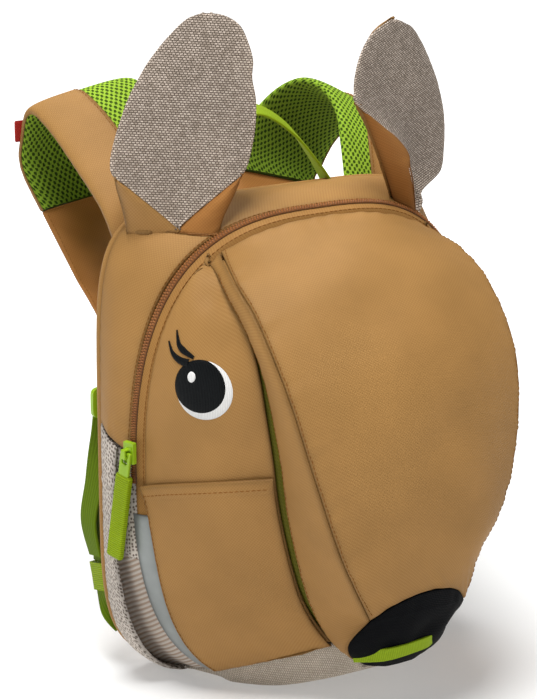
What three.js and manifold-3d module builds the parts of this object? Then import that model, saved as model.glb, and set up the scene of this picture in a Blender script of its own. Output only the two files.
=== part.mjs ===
// Kids backpack in the form of an animal's head, standing on its base.
// Millimetres, +Z up. The snout points along -Y, the shoulder straps arch out behind at +Y,
// and the origin is the middle of the flat base, where the bag stands.

import * as THREE from 'three';
import { mergeVertices } from 'three/addons/utils/BufferGeometryUtils.js';
import Module from 'manifold-3d';

// Driving dimensions: lengths in millimetres, angles in degrees.
const GAP = 0.4;
const CANVAS = 2;
const LINING = 1.4;
const BODY = { centreY: -20, centreZ: 128, depth: 45 };
const FRONT_OUTLINE = { y: 0, setback: 11, halfWidth: 110, up: 135, down: 134, upPower: 2.8, downPower: 2.8 };
const BACK_OUTLINE = { y: 45, setback: 0, halfWidth: 112, up: 138, down: 128, upPower: 6, downPower: 5 };
const BACK_PANEL = { thickness: 4, points: 56 };
const GUSSET = { endAtBack: 79.5, endAtZip: 85, bulge: 4, rows: 36, columns: 4 };
const SIDE = { below: 0.5, bottomAtBack: 147, bottomAtZip: 150, split: 0.7 };
const SIDE_GRID = { rows: 9, columns: 3, ribColumns: 1 };
const ZIP = { end: 90, half: 3.1, welt: 5.9, seat: 3.6, faceSeat: 6.3, tape: 1.2, coilHalf: 2.3, coil: 1.4 };
const ZIP_GRID = { rows: 40, columns: 2, lean: 0.47 };
const REFLECTIVE = { top: 96, half: 3.1, welt: 5.9, thickness: 1.4, rows: 10, columns: 2 };
const FACE = { top: 34, bottom: 150, bulge: 8, flank: 0.5, rows: 14, columns: 7 };
const CHEEK = { hemAtZip: 0.51, hemAtSlit: 0.627, lift: 2.5, thickness: 1.6, rows: 8, columns: 7 };
const SNOUT_SHAPE = { crownPower: 2.3, noseRow: 6, noseRise: 0.3, lastSide: 8.6, sideBulge: 2 };
const SNOUT_GAP = { nose: 0.03, seam: 0.8 };
const SNOUT_GRID = { rows: 18, columns: 10, noseRows: 8, sideColumns: 3 };
const SLIT_OPENING = { most: 6, least: 0.8, lastRow: 7, pastNose: 0.667 };
const LINING_DROP = { behind: 3, top: 12, topPower: 2, bottom: -17, bottomPower: 4, inset: 1.6, first: 0.5 };
const LINING_GRID = { rows: 10, columns: 6 };
const BASE = { flat: 0.84, rows: 14, columns: 10, thickness: 2 };

// The snout from the zip down to the chin: its seam at each side, and its middle line.
const SNOUT_ROWS = [
  { half: 65, front: 3.8, z: 247.4, midFront: 6.1, midZ: 260.1 },
  { half: 74, front: 33, z: 238, midFront: 38, midZ: 252 },
  { half: 75.5, front: 58, z: 222, midFront: 68, midZ: 236 },
  { half: 73, front: 83, z: 188, midFront: 98, midZ: 196 },
  { half: 65, front: 96, z: 146, midFront: 111, midZ: 149.5 },
  { half: 52, front: 102, z: 102, midFront: 114, midZ: 102.5 },
  { half: 31, front: 98, z: 63, midFront: 106, midZ: 66 },
  { half: 36, front: 86, z: 48, midFront: 100, midZ: 51 },
  { half: 33, front: 79, z: 37.5, midFront: 88, midZ: 38 },
  { half: 23, front: 75.5, z: 31, midFront: 76.5, midZ: 28.5 },
];

// The slit behind the snout: the inner edge of the face, then the edge of the base up to the nose.
const SLIT_ROWS = [
  { half: 72, front: 3.4, z: 241 },
  { half: 75, front: 22, z: 229 },
  { half: 75, front: 40, z: 214 },
  { half: 73, front: 54, z: 194 },
  { half: 68, front: 60, z: 153 },
  { half: 62, front: 60, z: 114 },
  { half: 47, front: 57, z: 66 },
  { half: 29, front: 58, z: 37 },
  { half: 24, front: 73, z: 32 },
];

// The base from the back panel to the chin: half its width, and its height at the edge and in the middle.
const BASE_ROWS = [
  { front: -44.6, half: 79.1, edgeZ: 4.5, midZ: 0 },
  { front: -24, half: 75.3, edgeZ: 3.2, midZ: 0 },
  { front: -7, half: 68.7, edgeZ: 7, midZ: 0 },
  { front: 3, half: 66.6, edgeZ: 9.8, midZ: 0 },
  { front: 28, half: 49, edgeZ: 21.6, midZ: 4 },
  { front: 57, half: 28, edgeZ: 35.5, midZ: 16 },
  { front: 74, half: 21.5, edgeZ: 29.6, midZ: 26 },
];

// An ear laid flat, from its root up: half widths of its front and of its back.
const EAR_ROWS = [
  { along: -9, face: 0, back: 18 },
  { along: 1, face: 1.5, back: 22 },
  { along: 11, face: 14, back: 29 },
  { along: 21, face: 26, back: 34.5 },
  { along: 31, face: 35, back: 37 },
  { along: 48, face: 38, back: 39 },
  { along: 67, face: 35.5, back: 36.5 },
  { along: 86, face: 28.5, back: 29.5 },
  { along: 100, face: 19.5, back: 20.5 },
  { along: 109, face: 10.5, back: 11.5 },
  { along: 113, face: 4, back: 5 },
];
const EAR = { faceStart: 1, foldEnd: 4, curl: 4.5, half: 38, layer: 1.8, foldLayer: 2.4, tipGap: 1.2 };
const EAR_GRID = { rows: 13, columns: 6, foldRows: 12, foldColumns: 2, room: 30 };
const EARS = [
  { side: 'left', x: -75.5, y: 18, z: 256.5, turn: -28, lean: 3.5, back: 10, shear: 0.35, bow: 10, size: 1 },
  { side: 'right', x: 76, y: 19, z: 256, turn: 23, lean: -14, back: 0, shear: -0.54, bow: 6, size: 0.9 },
];

// The shoulder straps from the top seam over their crest to the tail: outer and inner edge of each rib.
const STRAP_ROWS = {
  left: [
    { outX: -96, outY: 51.3, outZ: 245, inX: -51, inY: 51.3, inZ: 258 },
    { outX: -96, outY: 64, outZ: 263, inX: -50, inY: 62, inZ: 282 },
    { outX: -98, outY: 90, outZ: 282, inX: -49, inY: 80, inZ: 302 },
    { outX: -101, outY: 115, outZ: 298, inX: -50, inY: 97, inZ: 316 },
    { outX: -103, outY: 135, outZ: 305, inX: -53, inY: 115, inZ: 321 },
    { outX: -104, outY: 147, outZ: 291, inX: -57, inY: 135, inZ: 311 },
    { outX: -101, outY: 150, outZ: 270, inX: -58, inY: 146, inZ: 286 },
    { outX: -93, outY: 141, outZ: 243, inX: -56, inY: 143, inZ: 250 },
    { outX: -91, outY: 110, outZ: 214, inX: -57, inY: 115, inZ: 217 },
    { outX: -98, outY: 74, outZ: 190, inX: -69, inY: 76, inZ: 187 },
    { outX: -106, outY: 57, outZ: 166, inX: -88, inY: 57, inZ: 164 },
  ],
  right: [
    { outX: 96, outY: 51.3, outZ: 245, inX: 51, inY: 51.3, inZ: 258 },
    { outX: 100, outY: 64, outZ: 260, inX: 57, inY: 67, inZ: 281 },
    { outX: 105, outY: 85, outZ: 275, inX: 64, inY: 83, inZ: 295 },
    { outX: 109, outY: 108, outZ: 281, inX: 69, inY: 102, inZ: 306 },
    { outX: 108, outY: 128, outZ: 276, inX: 69, inY: 125, inZ: 309 },
    { outX: 103, outY: 144, outZ: 262, inX: 62, inY: 145, inZ: 297 },
    { outX: 95, outY: 148, outZ: 248, inX: 54, inY: 151, inZ: 274 },
    { outX: 87, outY: 141, outZ: 236, inX: 50, inY: 146, inZ: 252 },
    { outX: 89, outY: 110, outZ: 211, inX: 55, inY: 115, inZ: 217 },
    { outX: 98, outY: 74, outZ: 190, inX: 69, inY: 76, inZ: 187 },
    { outX: 106, outY: 57, outZ: 166, inX: 88, inY: 57, inZ: 164 },
  ],
};
const STRAP = { meshEnd: 7, tailStart: 7.012, pad: 7, edge: 2.6, roundness: 4, tail: 4.5 };
const STRAP_COVER = { thickness: 1.4, span: 0.62 };
const STRAP_GRID = { rows: 18, columns: 4, tailRows: 10, tailColumns: 2, reach: 0.2 };

// Webbing: a row for each bend, with the turn of its width from across the bag towards the back.
const WEB_ROWS = [
  { x: 98.5, y: 60.9, z: 158, turn: 0 },
  { x: 101, y: 64.5, z: 134, turn: 30 },
  { x: 104, y: 68, z: 108, turn: 72 },
  { x: 106, y: 68.5, z: 84, turn: 82 },
  { x: 106, y: 64.1, z: 62.7, turn: 90 },
];
const ANCHOR_ROWS = [
  { x: 106, y: 58.2, z: 41.8, turn: 85 },
  { x: 105, y: 57.4, z: 36, turn: 62 },
  { x: 102.5, y: 54.4, z: 29.5, turn: 25 },
  { x: 99, y: 51.3, z: 23, turn: 0 },
];
const GRAB_ROWS = [
  { x: -42, y: 51, z: 266.6, turn: 90 },
  { x: -38.5, y: 52, z: 286, turn: 90 },
  { x: -26, y: 53.5, z: 305, turn: 90 },
  { x: -7, y: 54, z: 312, turn: 90 },
  { x: 14, y: 53.5, z: 302, turn: 90 },
  { x: 31, y: 52, z: 284, turn: 90 },
  { x: 42, y: 51, z: 266.6, turn: 90 },
];
const WEB = { half: 7.5, thickness: 1.6, rows: 14 };
const ANCHOR = { half: 7, thickness: 1.6, rows: 5 };
const GRAB = { half: 7.5, thickness: 1.8, rows: 18 };
const LADDER_LOCK = { width: 25, height: 17, thickness: 3, corner: 4, slot: 4, bar: 3, segments: 4 };
const LOCK_PLACE = { x: 98, y: 57.6, z: 154.8 };
const KEEPER = { width: 19, height: 17, thickness: 4, corner: 2.6, slot: 4, bar: 3, segments: 4 };
const KEEPER_PLACE = { x: 106, y: 61, z: 52.6, tilt: 24 };

const NOSE_LOOP_ROWS = [
  { x: -30, front: 83.1, z: 35.2 },
  { x: -16, front: 91.5, z: 38 },
  { x: 0, front: 94.5, z: 39 },
  { x: 16, front: 91.5, z: 38 },
  { x: 30, front: 83.1, z: 35.2 },
];
const NOSE_LOOP = { half: 4.6, thickness: 1.6, rows: 14, drop: 0.94 };

const SLIDER = { degrees: -83.5, turn: 15, width: 7.5, length: 12, height: 2.6 };
const BRIDGE = { width: 3, bar: 1.2 };
const PULL = { tilt: 9, width: 7.4, length: 21, thickness: 1.8, bar: 1.8, rail: 1.5, slot: 5, play: 0.6 };
const TAB = { width: 10.5, length: 49, thickness: 4, mouth: 2.5, grip: 8 };
const FLAG = { reach: 5.5, length: 12, thickness: 1.6, row: 4.95, apart: 0.7 };

const SIDES = [{ name: 'left', sign: -1 }, { name: 'right', sign: 1 }];

// Cloth, mesh and moulded finishes.
const finish = (color, roughness) => new THREE.MeshStandardMaterial({ color, roughness, metalness: 0 });
const CARAMEL = finish('#a57c48', 0.85);
const TAUPE = finish('#948677', 0.9);
const KNIT = finish('#9a9088', 0.9);
const REFLECTIVE_GREY = finish('#8f9290', 0.45);
const BROWN_ZIP = finish('#6d4527', 0.6);
const GREEN_MESH = finish('#8fb03a', 0.9);
const GREEN_WEBBING = finish('#76882b', 0.8);
const GREEN_MOULDED = finish('#8fae1f', 0.4);
const GREEN_LINING = finish('#5f6f1f', 0.85);
const BLACK = finish('#17191b', 0.8);
const RED = finish('#a02a22', 0.8);

const wasm = await Module();
wasm.setup();
const backpack = new THREE.Group();
const { degToRad, lerp } = THREE.MathUtils;
const point = (x, y, z) => new THREE.Vector3(x, y, z);

function addPiece(name, geometry, material, parent = backpack) {
  const mesh = new THREE.Mesh(geometry, material);
  mesh.name = name;
  parent.add(mesh);
  return mesh;
}

// A value between b and c on the smooth curve through a, b, c and d.
function smoothStep(a, b, c, d, t) {
  const leaving = (c - a) / 2;
  const arriving = (d - b) / 2;
  const bend = 3 * (c - b) - 2 * leaving - arriving;
  const twist = 2 * (b - c) + leaving + arriving;
  return b + t * (leaving + t * (bend + t * twist));
}

// A table read between its rows: place 2.5 lies halfway from row 2 to row 3.
function readRow(rows, place) {
  const last = rows.length - 1;
  const at = Math.min(Math.max(Math.floor(place), 0), last - 1);
  const near = [at - 1, at, at + 1, at + 2].map((i) => rows[Math.min(Math.max(i, 0), last)]);
  const row = {};
  for (const column of Object.keys(rows[0])) {
    row[column] = smoothStep(...near.map((each) => each[column]), place - at);
  }
  return row;
}

// The closed body between two grids of points that have the same rows and columns.
function slab(outer, inner) {
  const rows = outer.length;
  const columns = outer[0].length;
  const points = [...outer.flat(), ...inner.flat()];
  const index = [];
  const at = (row, column, face) => (face * rows + row) * columns + column;
  const quad = (a, b, c, d) => index.push(a, b, c, a, c, d);
  for (let r = 0; r + 1 < rows; r++) {
    for (let c = 0; c + 1 < columns; c++) {
      quad(at(r, c, 0), at(r, c + 1, 0), at(r + 1, c + 1, 0), at(r + 1, c, 0));
      quad(at(r, c, 1), at(r + 1, c, 1), at(r + 1, c + 1, 1), at(r, c + 1, 1));
    }
  }
  const [bottom, right] = [rows - 1, columns - 1];
  for (let c = 0; c < right; c++) {
    quad(at(0, c + 1, 0), at(0, c, 0), at(0, c, 1), at(0, c + 1, 1));
    quad(at(bottom, c, 0), at(bottom, c + 1, 0), at(bottom, c + 1, 1), at(bottom, c, 1));
  }
  for (let r = 0; r < bottom; r++) {
    quad(at(r, 0, 0), at(r + 1, 0, 0), at(r + 1, 0, 1), at(r, 0, 1));
    quad(at(r + 1, right, 0), at(r, right, 0), at(r, right, 1), at(r + 1, right, 1));
  }
  return closedGeometry(points, index);
}

// Six times the signed volume of a closed mesh: negative where its faces point inwards.
function signedVolume(points, index) {
  let sum = 0;
  for (let i = 0; i < index.length; i += 3) {
    const [a, b, c] = [points[index[i]], points[index[i + 1]], points[index[i + 2]]];
    sum += a.dot(b.clone().cross(c));
  }
  return sum;
}

function closedGeometry(points, index) {
  const facing = signedVolume(points, index) < 0 ? [...index].reverse() : index;
  const geometry = new THREE.BufferGeometry().setFromPoints(points);
  geometry.setIndex(facing);
  geometry.computeVertexNormals();
  return geometry;
}

// Points of a surface with u running along each row and v from row to row, both from 0 to 1.
function gridOf(surface, columns, rows) {
  const grid = [];
  for (let r = 0; r <= rows; r++) {
    grid.push([]);
    for (let c = 0; c <= columns; c++) grid[r].push(surface(c / columns, r / rows));
  }
  return grid;
}

// From a point of the shell towards the bag's middle: every sewn panel takes its thickness that way.
function inward(at) {
  return point(-at.x, BODY.centreY - at.y, BODY.centreZ - at.z).normalize();
}

// A sewn panel: the surface is its outer face.
function panel(surface, columns, rows, thickness) {
  const outer = gridOf(surface, columns, rows);
  const inner = outer.map((row) => row.map((at) => at.clone().addScaledVector(inward(at), thickness)));
  return slab(outer, inner);
}

// A rounded outline around the bag's middle, read by the angle from the top, positive towards +X.
function outlinePoint(shape, degrees) {
  const sine = Math.sin(degToRad(degrees));
  const cosine = Math.cos(degToRad(degrees));
  const height = cosine > 0 ? shape.up : shape.down;
  const power = cosine > 0 ? shape.upPower : shape.downPower;
  const wide = Math.abs(sine / shape.halfWidth) ** power;
  const tall = Math.abs(cosine / height) ** power;
  const reach = (wide + tall) ** (-1 / power);
  return point(reach * sine, shape.y + shape.setback * sine * sine, BODY.centreZ + reach * cosine);
}

const radial = (degrees) => point(Math.sin(degToRad(degrees)), 0, Math.cos(degToRad(degrees)));

// Beside the zip line: across is in millimetres, towards the face if positive and the back if negative.
function besideZip(degrees, across) {
  const line = outlinePoint(FRONT_OUTLINE, degrees);
  const toBack = outlinePoint(BACK_OUTLINE, degrees).sub(line).normalize();
  const toFace = radial(degrees).multiplyScalar(-ZIP_GRID.lean).add(point(0, -1, 0)).normalize();
  return line.addScaledVector(across > 0 ? toFace : toBack, Math.abs(across));
}

// The wall between the back panel, at v = 0, and the zip, at v = 1.
function wallPoint(degrees, v) {
  const at = outlinePoint(BACK_OUTLINE, degrees).lerp(besideZip(degrees, -ZIP.seat), v);
  return at.addScaledVector(radial(degrees), GUSSET.bulge * Math.sin(Math.PI * v));
}

function seamPoint(sign, place) {
  const row = readRow(SNOUT_ROWS, place);
  return point(sign * row.half, -row.front, row.z);
}

function slitPoint(sign, place) {
  const row = readRow(SLIT_ROWS, place);
  return point(sign * row.half, -row.front, row.z);
}

// Across the snout from seam to seam, with q from -1 to 1, at a place in the snout's table.
function snoutPoint(q, place) {
  const row = readRow(SNOUT_ROWS, place);
  const crown = 1 - Math.abs(q) ** SNOUT_SHAPE.crownPower;
  return point(row.half * q, -lerp(row.front, row.midFront, crown), lerp(row.z, row.midZ, crown));
}

// The nose's upper edge arches up in the middle.
const noseLine = (q) => SNOUT_SHAPE.noseRow - SNOUT_SHAPE.noseRise * (1 - q * q);

// The face from the zip, at u = 0, to the slit, at u = 1.
function facePoint(sign, u, v) {
  const atZip = besideZip(sign * lerp(FACE.top, FACE.bottom, v), ZIP.faceSeat);
  const at = atZip.lerp(slitPoint(sign, SLIT_OPENING.lastRow * v), u);
  const bulge = FACE.bulge * Math.sin(Math.PI * u) * Math.sin(Math.PI * v) ** FACE.flank;
  return at.addScaledVector(inward(at), -bulge);
}

function addBackPanel() {
  const outline = new THREE.Shape();
  const turn = 360 / BACK_PANEL.points;
  const corners = [];
  for (let i = 0; i < BACK_PANEL.points; i++) {
    const at = outlinePoint(BACK_OUTLINE, i * turn);
    corners.push(new THREE.Vector2(at.x, at.z));
  }
  outline.setFromPoints(corners);
  const plate = new THREE.ExtrudeGeometry(outline, { depth: BACK_PANEL.thickness, bevelEnabled: false });
  plate.rotateX(Math.PI / 2);
  plate.translate(0, BACK_OUTLINE.y + GAP + BACK_PANEL.thickness, 0);
  addPiece('back_panel', plate, CARAMEL);
}

// The gusset over the top, from the back panel at u = 0 to the zip at u = 1.
const gussetEnd = (u) => lerp(GUSSET.endAtBack, GUSSET.endAtZip, u);
const gussetPoint = (u, v) => wallPoint(lerp(-gussetEnd(u), gussetEnd(u), v), u);

// The side wall below the gusset, from its top edge at v = 0 to the base at v = 1.
function sidePoint(sign, u, v) {
  const bottom = lerp(SIDE.bottomAtBack, SIDE.bottomAtZip, u);
  return wallPoint(sign * lerp(gussetEnd(u) + SIDE.below, bottom, v), u);
}

function addWalls() {
  addPiece('gusset', panel(gussetPoint, GUSSET.columns, GUSSET.rows, CANVAS), CARAMEL);
  for (const { name, sign } of SIDES) {
    const pocket = (u, v) => sidePoint(sign, u * SIDE.split, v);
    const rib = (u, v) => sidePoint(sign, lerp(SIDE.split + GAP / BODY.depth, 1, u), v);
    addPiece(`side_pocket_${name}`, panel(pocket, SIDE_GRID.columns, SIDE_GRID.rows, CANVAS), KNIT);
    addPiece(`side_rib_${name}`, panel(rib, SIDE_GRID.ribColumns, SIDE_GRID.rows, CANVAS), TAUPE);
    const strip = (u, v) => {
      const across = lerp(-REFLECTIVE.half, REFLECTIVE.welt, u);
      return besideZip(sign * lerp(REFLECTIVE.top, SIDE.bottomAtZip, v), across);
    };
    const { columns, rows, thickness } = REFLECTIVE;
    addPiece(`reflective_${name}`, panel(strip, columns, rows, thickness), REFLECTIVE_GREY);
  }
}

// The base is flat where the bag stands, and its edges turn up to meet the sides, the cheeks and the nose.
function basePoint(u, v) {
  const q = lerp(-1, 1, u);
  const row = readRow(BASE_ROWS, v * (BASE_ROWS.length - 1));
  const rise = THREE.MathUtils.smoothstep(Math.abs(q), BASE.flat, 1);
  const middle = Math.max(row.midZ, 0);
  return point(row.half * q, -row.front, lerp(middle, row.edgeZ, rise));
}

function addBase() {
  addPiece('base_panel', panel(basePoint, BASE.columns, BASE.rows, BASE.thickness), TAUPE);
}

function addZip() {
  const along = (v) => lerp(-ZIP.end, ZIP.end, v);
  const tape = (u, v) => besideZip(along(v), lerp(-ZIP.half, ZIP.welt, u));
  const coil = (u, v) => {
    const at = besideZip(along(v), lerp(-1, 1, u) * ZIP.coilHalf);
    return at.addScaledVector(inward(at), -(ZIP.coil + GAP));
  };
  addPiece('zip_tape', panel(tape, ZIP_GRID.columns, ZIP_GRID.rows, ZIP.tape), CARAMEL);
  addPiece('zip_coil', panel(coil, ZIP_GRID.columns, ZIP_GRID.rows, ZIP.coil), BROWN_ZIP);
}

function addFaces() {
  for (const { name, sign } of SIDES) {
    const face = (u, v) => facePoint(sign, u, v);
    addPiece(`face_${name}`, panel(face, FACE.columns, FACE.rows, CANVAS), CARAMEL);
    const cheek = (u, v) => {
      const at = facePoint(sign, u, lerp(lerp(CHEEK.hemAtZip, CHEEK.hemAtSlit, u), 1, v));
      return at.addScaledVector(inward(at), -CHEEK.lift);
    };
    addPiece(`cheek_${name}`, panel(cheek, CHEEK.columns, CHEEK.rows, CHEEK.thickness), CARAMEL);
  }
}

// The snout's side band, from the seam at u = 0 to the open edge of the slit at u = 1.
function snoutSidePoint(sign, u, v) {
  const place = v * SNOUT_SHAPE.lastSide;
  const past = Math.max(place - SNOUT_SHAPE.noseRow, 0);
  const slitPlace = Math.min(place, SNOUT_SHAPE.noseRow) + past * SLIT_OPENING.pastNose;
  const seam = seamPoint(sign, place);
  const edge = slitPoint(sign, slitPlace);
  const width = seam.distanceTo(edge);
  const swing = Math.sin(Math.PI * Math.min(slitPlace / SLIT_OPENING.lastRow, 1));
  const open = SLIT_OPENING.least + (SLIT_OPENING.most - SLIT_OPENING.least) * swing;
  const at = seam.lerp(edge, lerp(SNOUT_GAP.seam / width, 1 - open / width, u));
  at.x += sign * SNOUT_SHAPE.sideBulge * Math.sin(Math.PI * u) * swing;
  return at;
}

function addSnout() {
  const tuck = 1 - GAP / SNOUT_ROWS[0].half;
  const top = (u, v) => {
    const q = lerp(-tuck, tuck, u);
    return snoutPoint(q, v * noseLine(q));
  };
  const nose = (u, v) => {
    const q = lerp(-tuck, tuck, u);
    return snoutPoint(q, lerp(noseLine(q) + SNOUT_GAP.nose, SNOUT_ROWS.length - 1, v));
  };
  addPiece('snout_top', panel(top, SNOUT_GRID.columns, SNOUT_GRID.rows, CANVAS), CARAMEL);
  addPiece('nose', panel(nose, SNOUT_GRID.columns, SNOUT_GRID.noseRows, CANVAS), BLACK);
  for (const { name, sign } of SIDES) {
    const side = (u, v) => snoutSidePoint(sign, u, v);
    addPiece(`snout_side_${name}`, panel(side, SNOUT_GRID.sideColumns, SNOUT_GRID.rows, CANVAS), CARAMEL);
  }
}

// The pocket's back wall, from slit to slit behind the snout.
function addLining() {
  const surface = (u, v) => {
    const q = lerp(-1, 1, u);
    const row = readRow(SLIT_ROWS, lerp(LINING_DROP.first, SLIT_OPENING.lastRow, v));
    const t = 1 - 2 * v;
    const { top, topPower, bottom, bottomPower } = LINING_DROP;
    const arch = t > 0 ? top * t ** topPower : bottom * (-t) ** bottomPower;
    const half = row.half - LINING_DROP.inset;
    return point(half * q, LINING_DROP.behind - row.front, row.z + arch * (1 - q * q));
  };
  addPiece('snout_lining', panel(surface, LINING_GRID.columns, LINING_GRID.rows, LINING), GREEN_LINING);
}

// Webbing along a table of bends; turn gives the way its width lies, seen from above.
function webbing(rows, sign, { half, thickness, rows: steps }) {
  const centre = (v) => {
    const row = readRow(rows, v * (rows.length - 1));
    return point(sign * row.x, row.y, row.z);
  };
  const widthAt = (v) => {
    const turn = degToRad(readRow(rows, v * (rows.length - 1)).turn);
    return point(sign * Math.cos(turn), Math.sin(turn), 0);
  };
  return ribbon(centre, widthAt, half, thickness, steps);
}

// A flat band along a path, with its width square to the path.
function ribbon(centre, widthAt, half, thickness, steps) {
  const step = 1 / steps / 2;
  const face = (side) => gridOf((u, v) => {
    const ahead = centre(Math.min(v + step, 1)).sub(centre(Math.max(v - step, 0))).normalize();
    const across = widthAt(v);
    across.addScaledVector(ahead, -across.dot(ahead)).normalize();
    const out = across.clone().cross(ahead);
    const at = centre(v).addScaledVector(across, lerp(-half, half, u));
    return at.addScaledVector(out, side * thickness / 2);
  }, 1, steps);
  return slab(face(1), face(-1));
}

// A moulded frame with two slots for webbing, flat in X and Z before it is placed.
function slottedPlate({ width, height, thickness, corner, slot, bar, segments }) {
  const [x, z] = [width / 2, height / 2];
  const outline = new THREE.Shape();
  outline.moveTo(-x + corner, -z);
  outline.lineTo(x - corner, -z);
  outline.quadraticCurveTo(x, -z, x, -z + corner);
  outline.lineTo(x, z - corner);
  outline.quadraticCurveTo(x, z, x - corner, z);
  outline.lineTo(-x + corner, z);
  outline.quadraticCurveTo(-x, z, -x, z - corner);
  outline.lineTo(-x, -z + corner);
  outline.quadraticCurveTo(-x, -z, -x + corner, -z);
  for (const side of [-1, 1]) {
    const middle = side * (bar + slot) / 2;
    const hole = new THREE.Path();
    hole.moveTo(-x + bar, middle - slot / 2);
    hole.lineTo(x - bar, middle - slot / 2);
    hole.lineTo(x - bar, middle + slot / 2);
    hole.lineTo(-x + bar, middle + slot / 2);
    hole.closePath();
    outline.holes.push(hole);
  }
  const options = { depth: thickness, bevelEnabled: false, curveSegments: segments };
  const plate = new THREE.ExtrudeGeometry(outline, options);
  plate.translate(0, 0, -thickness / 2);
  plate.rotateX(Math.PI / 2);
  return plate;
}

// A point of a strap: across runs from the outer edge to the inner one, lift away from the wearer's side.
function strapPoint(name, sign, place, across, lift) {
  const rows = STRAP_ROWS[name];
  const rib = (at, share) => {
    const row = readRow(rows, Math.min(Math.max(at, 0), rows.length - 1));
    return point(row.outX, row.outY, row.outZ).lerp(point(row.inX, row.inY, row.inZ), share);
  };
  const { reach } = STRAP_GRID;
  const ahead = rib(place + reach, across).sub(rib(place - reach, across));
  const width = rib(place, 1).sub(rib(place, 0)).multiplyScalar(-sign);
  const out = width.cross(ahead).normalize();
  return rib(place, across).addScaledVector(out, lift);
}

function addStraps() {
  const padAt = (u) => lerp(STRAP.edge, STRAP.pad, 1 - (2 * u - 1) ** STRAP.roundness);
  for (const { name, sign } of SIDES) {
    const body = (first, last, from, to, lift) => gridOf((u, v) => {
      const across = lerp(from, to, u);
      return strapPoint(name, sign, lerp(first, last, v), across, lift(across));
    }, STRAP_GRID.columns, STRAP_GRID.rows);
    const last = STRAP_ROWS[name].length - 1;
    const tail = (lift) => gridOf((u, v) => {
      return strapPoint(name, sign, lerp(STRAP.tailStart, last, v), u, lift);
    }, STRAP_GRID.tailColumns, STRAP_GRID.tailRows);
    const pad = (lift) => body(0, STRAP.meshEnd, 0, 1, lift);
    const skin = (lift) => body(0, STRAP.meshEnd, 0, STRAP_COVER.span, lift);
    const mesh = slab(pad(() => 0), pad((u) => -padAt(u)));
    const cover = slab(skin(() => GAP + STRAP_COVER.thickness), skin(() => GAP));
    addPiece(`strap_mesh_${name}`, mesh, GREEN_MESH);
    addPiece(`strap_cover_${name}`, cover, CARAMEL);
    addPiece(`strap_tail_${name}`, slab(tail(0), tail(-STRAP.tail)), CARAMEL);
    addPiece(`strap_web_${name}`, webbing(WEB_ROWS, sign, WEB), GREEN_WEBBING);
    addPiece(`web_anchor_${name}`, webbing(ANCHOR_ROWS, sign, ANCHOR), GREEN_WEBBING);
    const lock = addPiece(`ladder_lock_${name}`, slottedPlate(LADDER_LOCK), GREEN_MOULDED);
    lock.position.set(sign * LOCK_PLACE.x, LOCK_PLACE.y, LOCK_PLACE.z);
    const keeper = addPiece(`web_keeper_${name}`, slottedPlate(KEEPER), GREEN_MOULDED);
    keeper.position.set(sign * KEEPER_PLACE.x, KEEPER_PLACE.y, KEEPER_PLACE.z);
    keeper.rotation.set(-degToRad(KEEPER_PLACE.tilt), 0, Math.PI / 2, 'XYZ');
  }
  addPiece('grab_loop', webbing(GRAB_ROWS, 1, GRAB), GREEN_WEBBING);
  addFlag();
}

// The small red tab stands out from the left strap's outer edge.
function addFlag() {
  const edge = strapPoint('left', -1, FLAG.row, 0, 0);
  const flag = new THREE.BoxGeometry(FLAG.reach, FLAG.thickness, FLAG.length);
  const mesh = addPiece('strap_flag', flag, RED);
  mesh.position.set(edge.x - FLAG.reach / 2 - FLAG.apart, edge.y, edge.z);
}

// A point of an ear: its rims curl forward, its tip bows sideways, and its root is slanted like the wall.
function earPoint(x, along, depth, { shear, bow, size }) {
  const root = Math.max(1 - along / EAR_ROWS[EAR.foldEnd].along, 0);
  const share = along / EAR_ROWS.at(-1).along;
  const curl = EAR.curl * (x / EAR.half) ** 2 * (1 - share);
  return point(x + bow * share * share, depth - curl, along * size + shear * x * root);
}

// The room that the wall takes up under an ear, with a gap all over it.
function wallRoom() {
  const outer = gridOf((u, v) => {
    const at = gussetPoint(u, v);
    return at.addScaledVector(inward(at), -GAP);
  }, GUSSET.columns, GUSSET.rows);
  const inner = outer.map((row) => row.map((at) => at.clone().addScaledVector(inward(at), EAR_GRID.room)));
  return solidOf(slab(outer, inner));
}

// Each ear stands on the wall, and its root is cut to the wall's curve.
function addEars() {
  const last = EAR_ROWS.length - 1;
  const room = wallRoom();
  for (const set of EARS) {
    const { side, x, y, z, turn, lean, back } = set;
    const stance = new THREE.Object3D();
    stance.position.set(x, y, z);
    stance.rotation.set(-degToRad(back), degToRad(lean), degToRad(turn), 'ZXY');
    stance.updateMatrix();
    const petal = (column, first, depth) => gridOf((u, v) => {
      const row = readRow(EAR_ROWS, lerp(first, last, v));
      return earPoint(row[column] * lerp(-1, 1, u), row.along, depth, set);
    }, EAR_GRID.columns, EAR_GRID.rows);
    const addLayer = (name, outer, inner, material) => {
      const flat = slab(outer, inner).applyMatrix4(stance.matrix);
      addPiece(`${name}_${side}`, geometryOf(solidOf(flat).subtract(room)), material);
    };
    const { layer, faceStart, foldLayer } = EAR;
    const behind = layer + GAP;
    addLayer('ear_face', petal('face', faceStart, 0), petal('face', faceStart, layer), TAUPE);
    addLayer('ear_back', petal('back', 0, behind), petal('back', 0, behind + layer), CARAMEL);
    addLayer('ear_fold', earFold(layer - foldLayer, set), earFold(layer, set), CARAMEL);
  }
}

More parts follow.
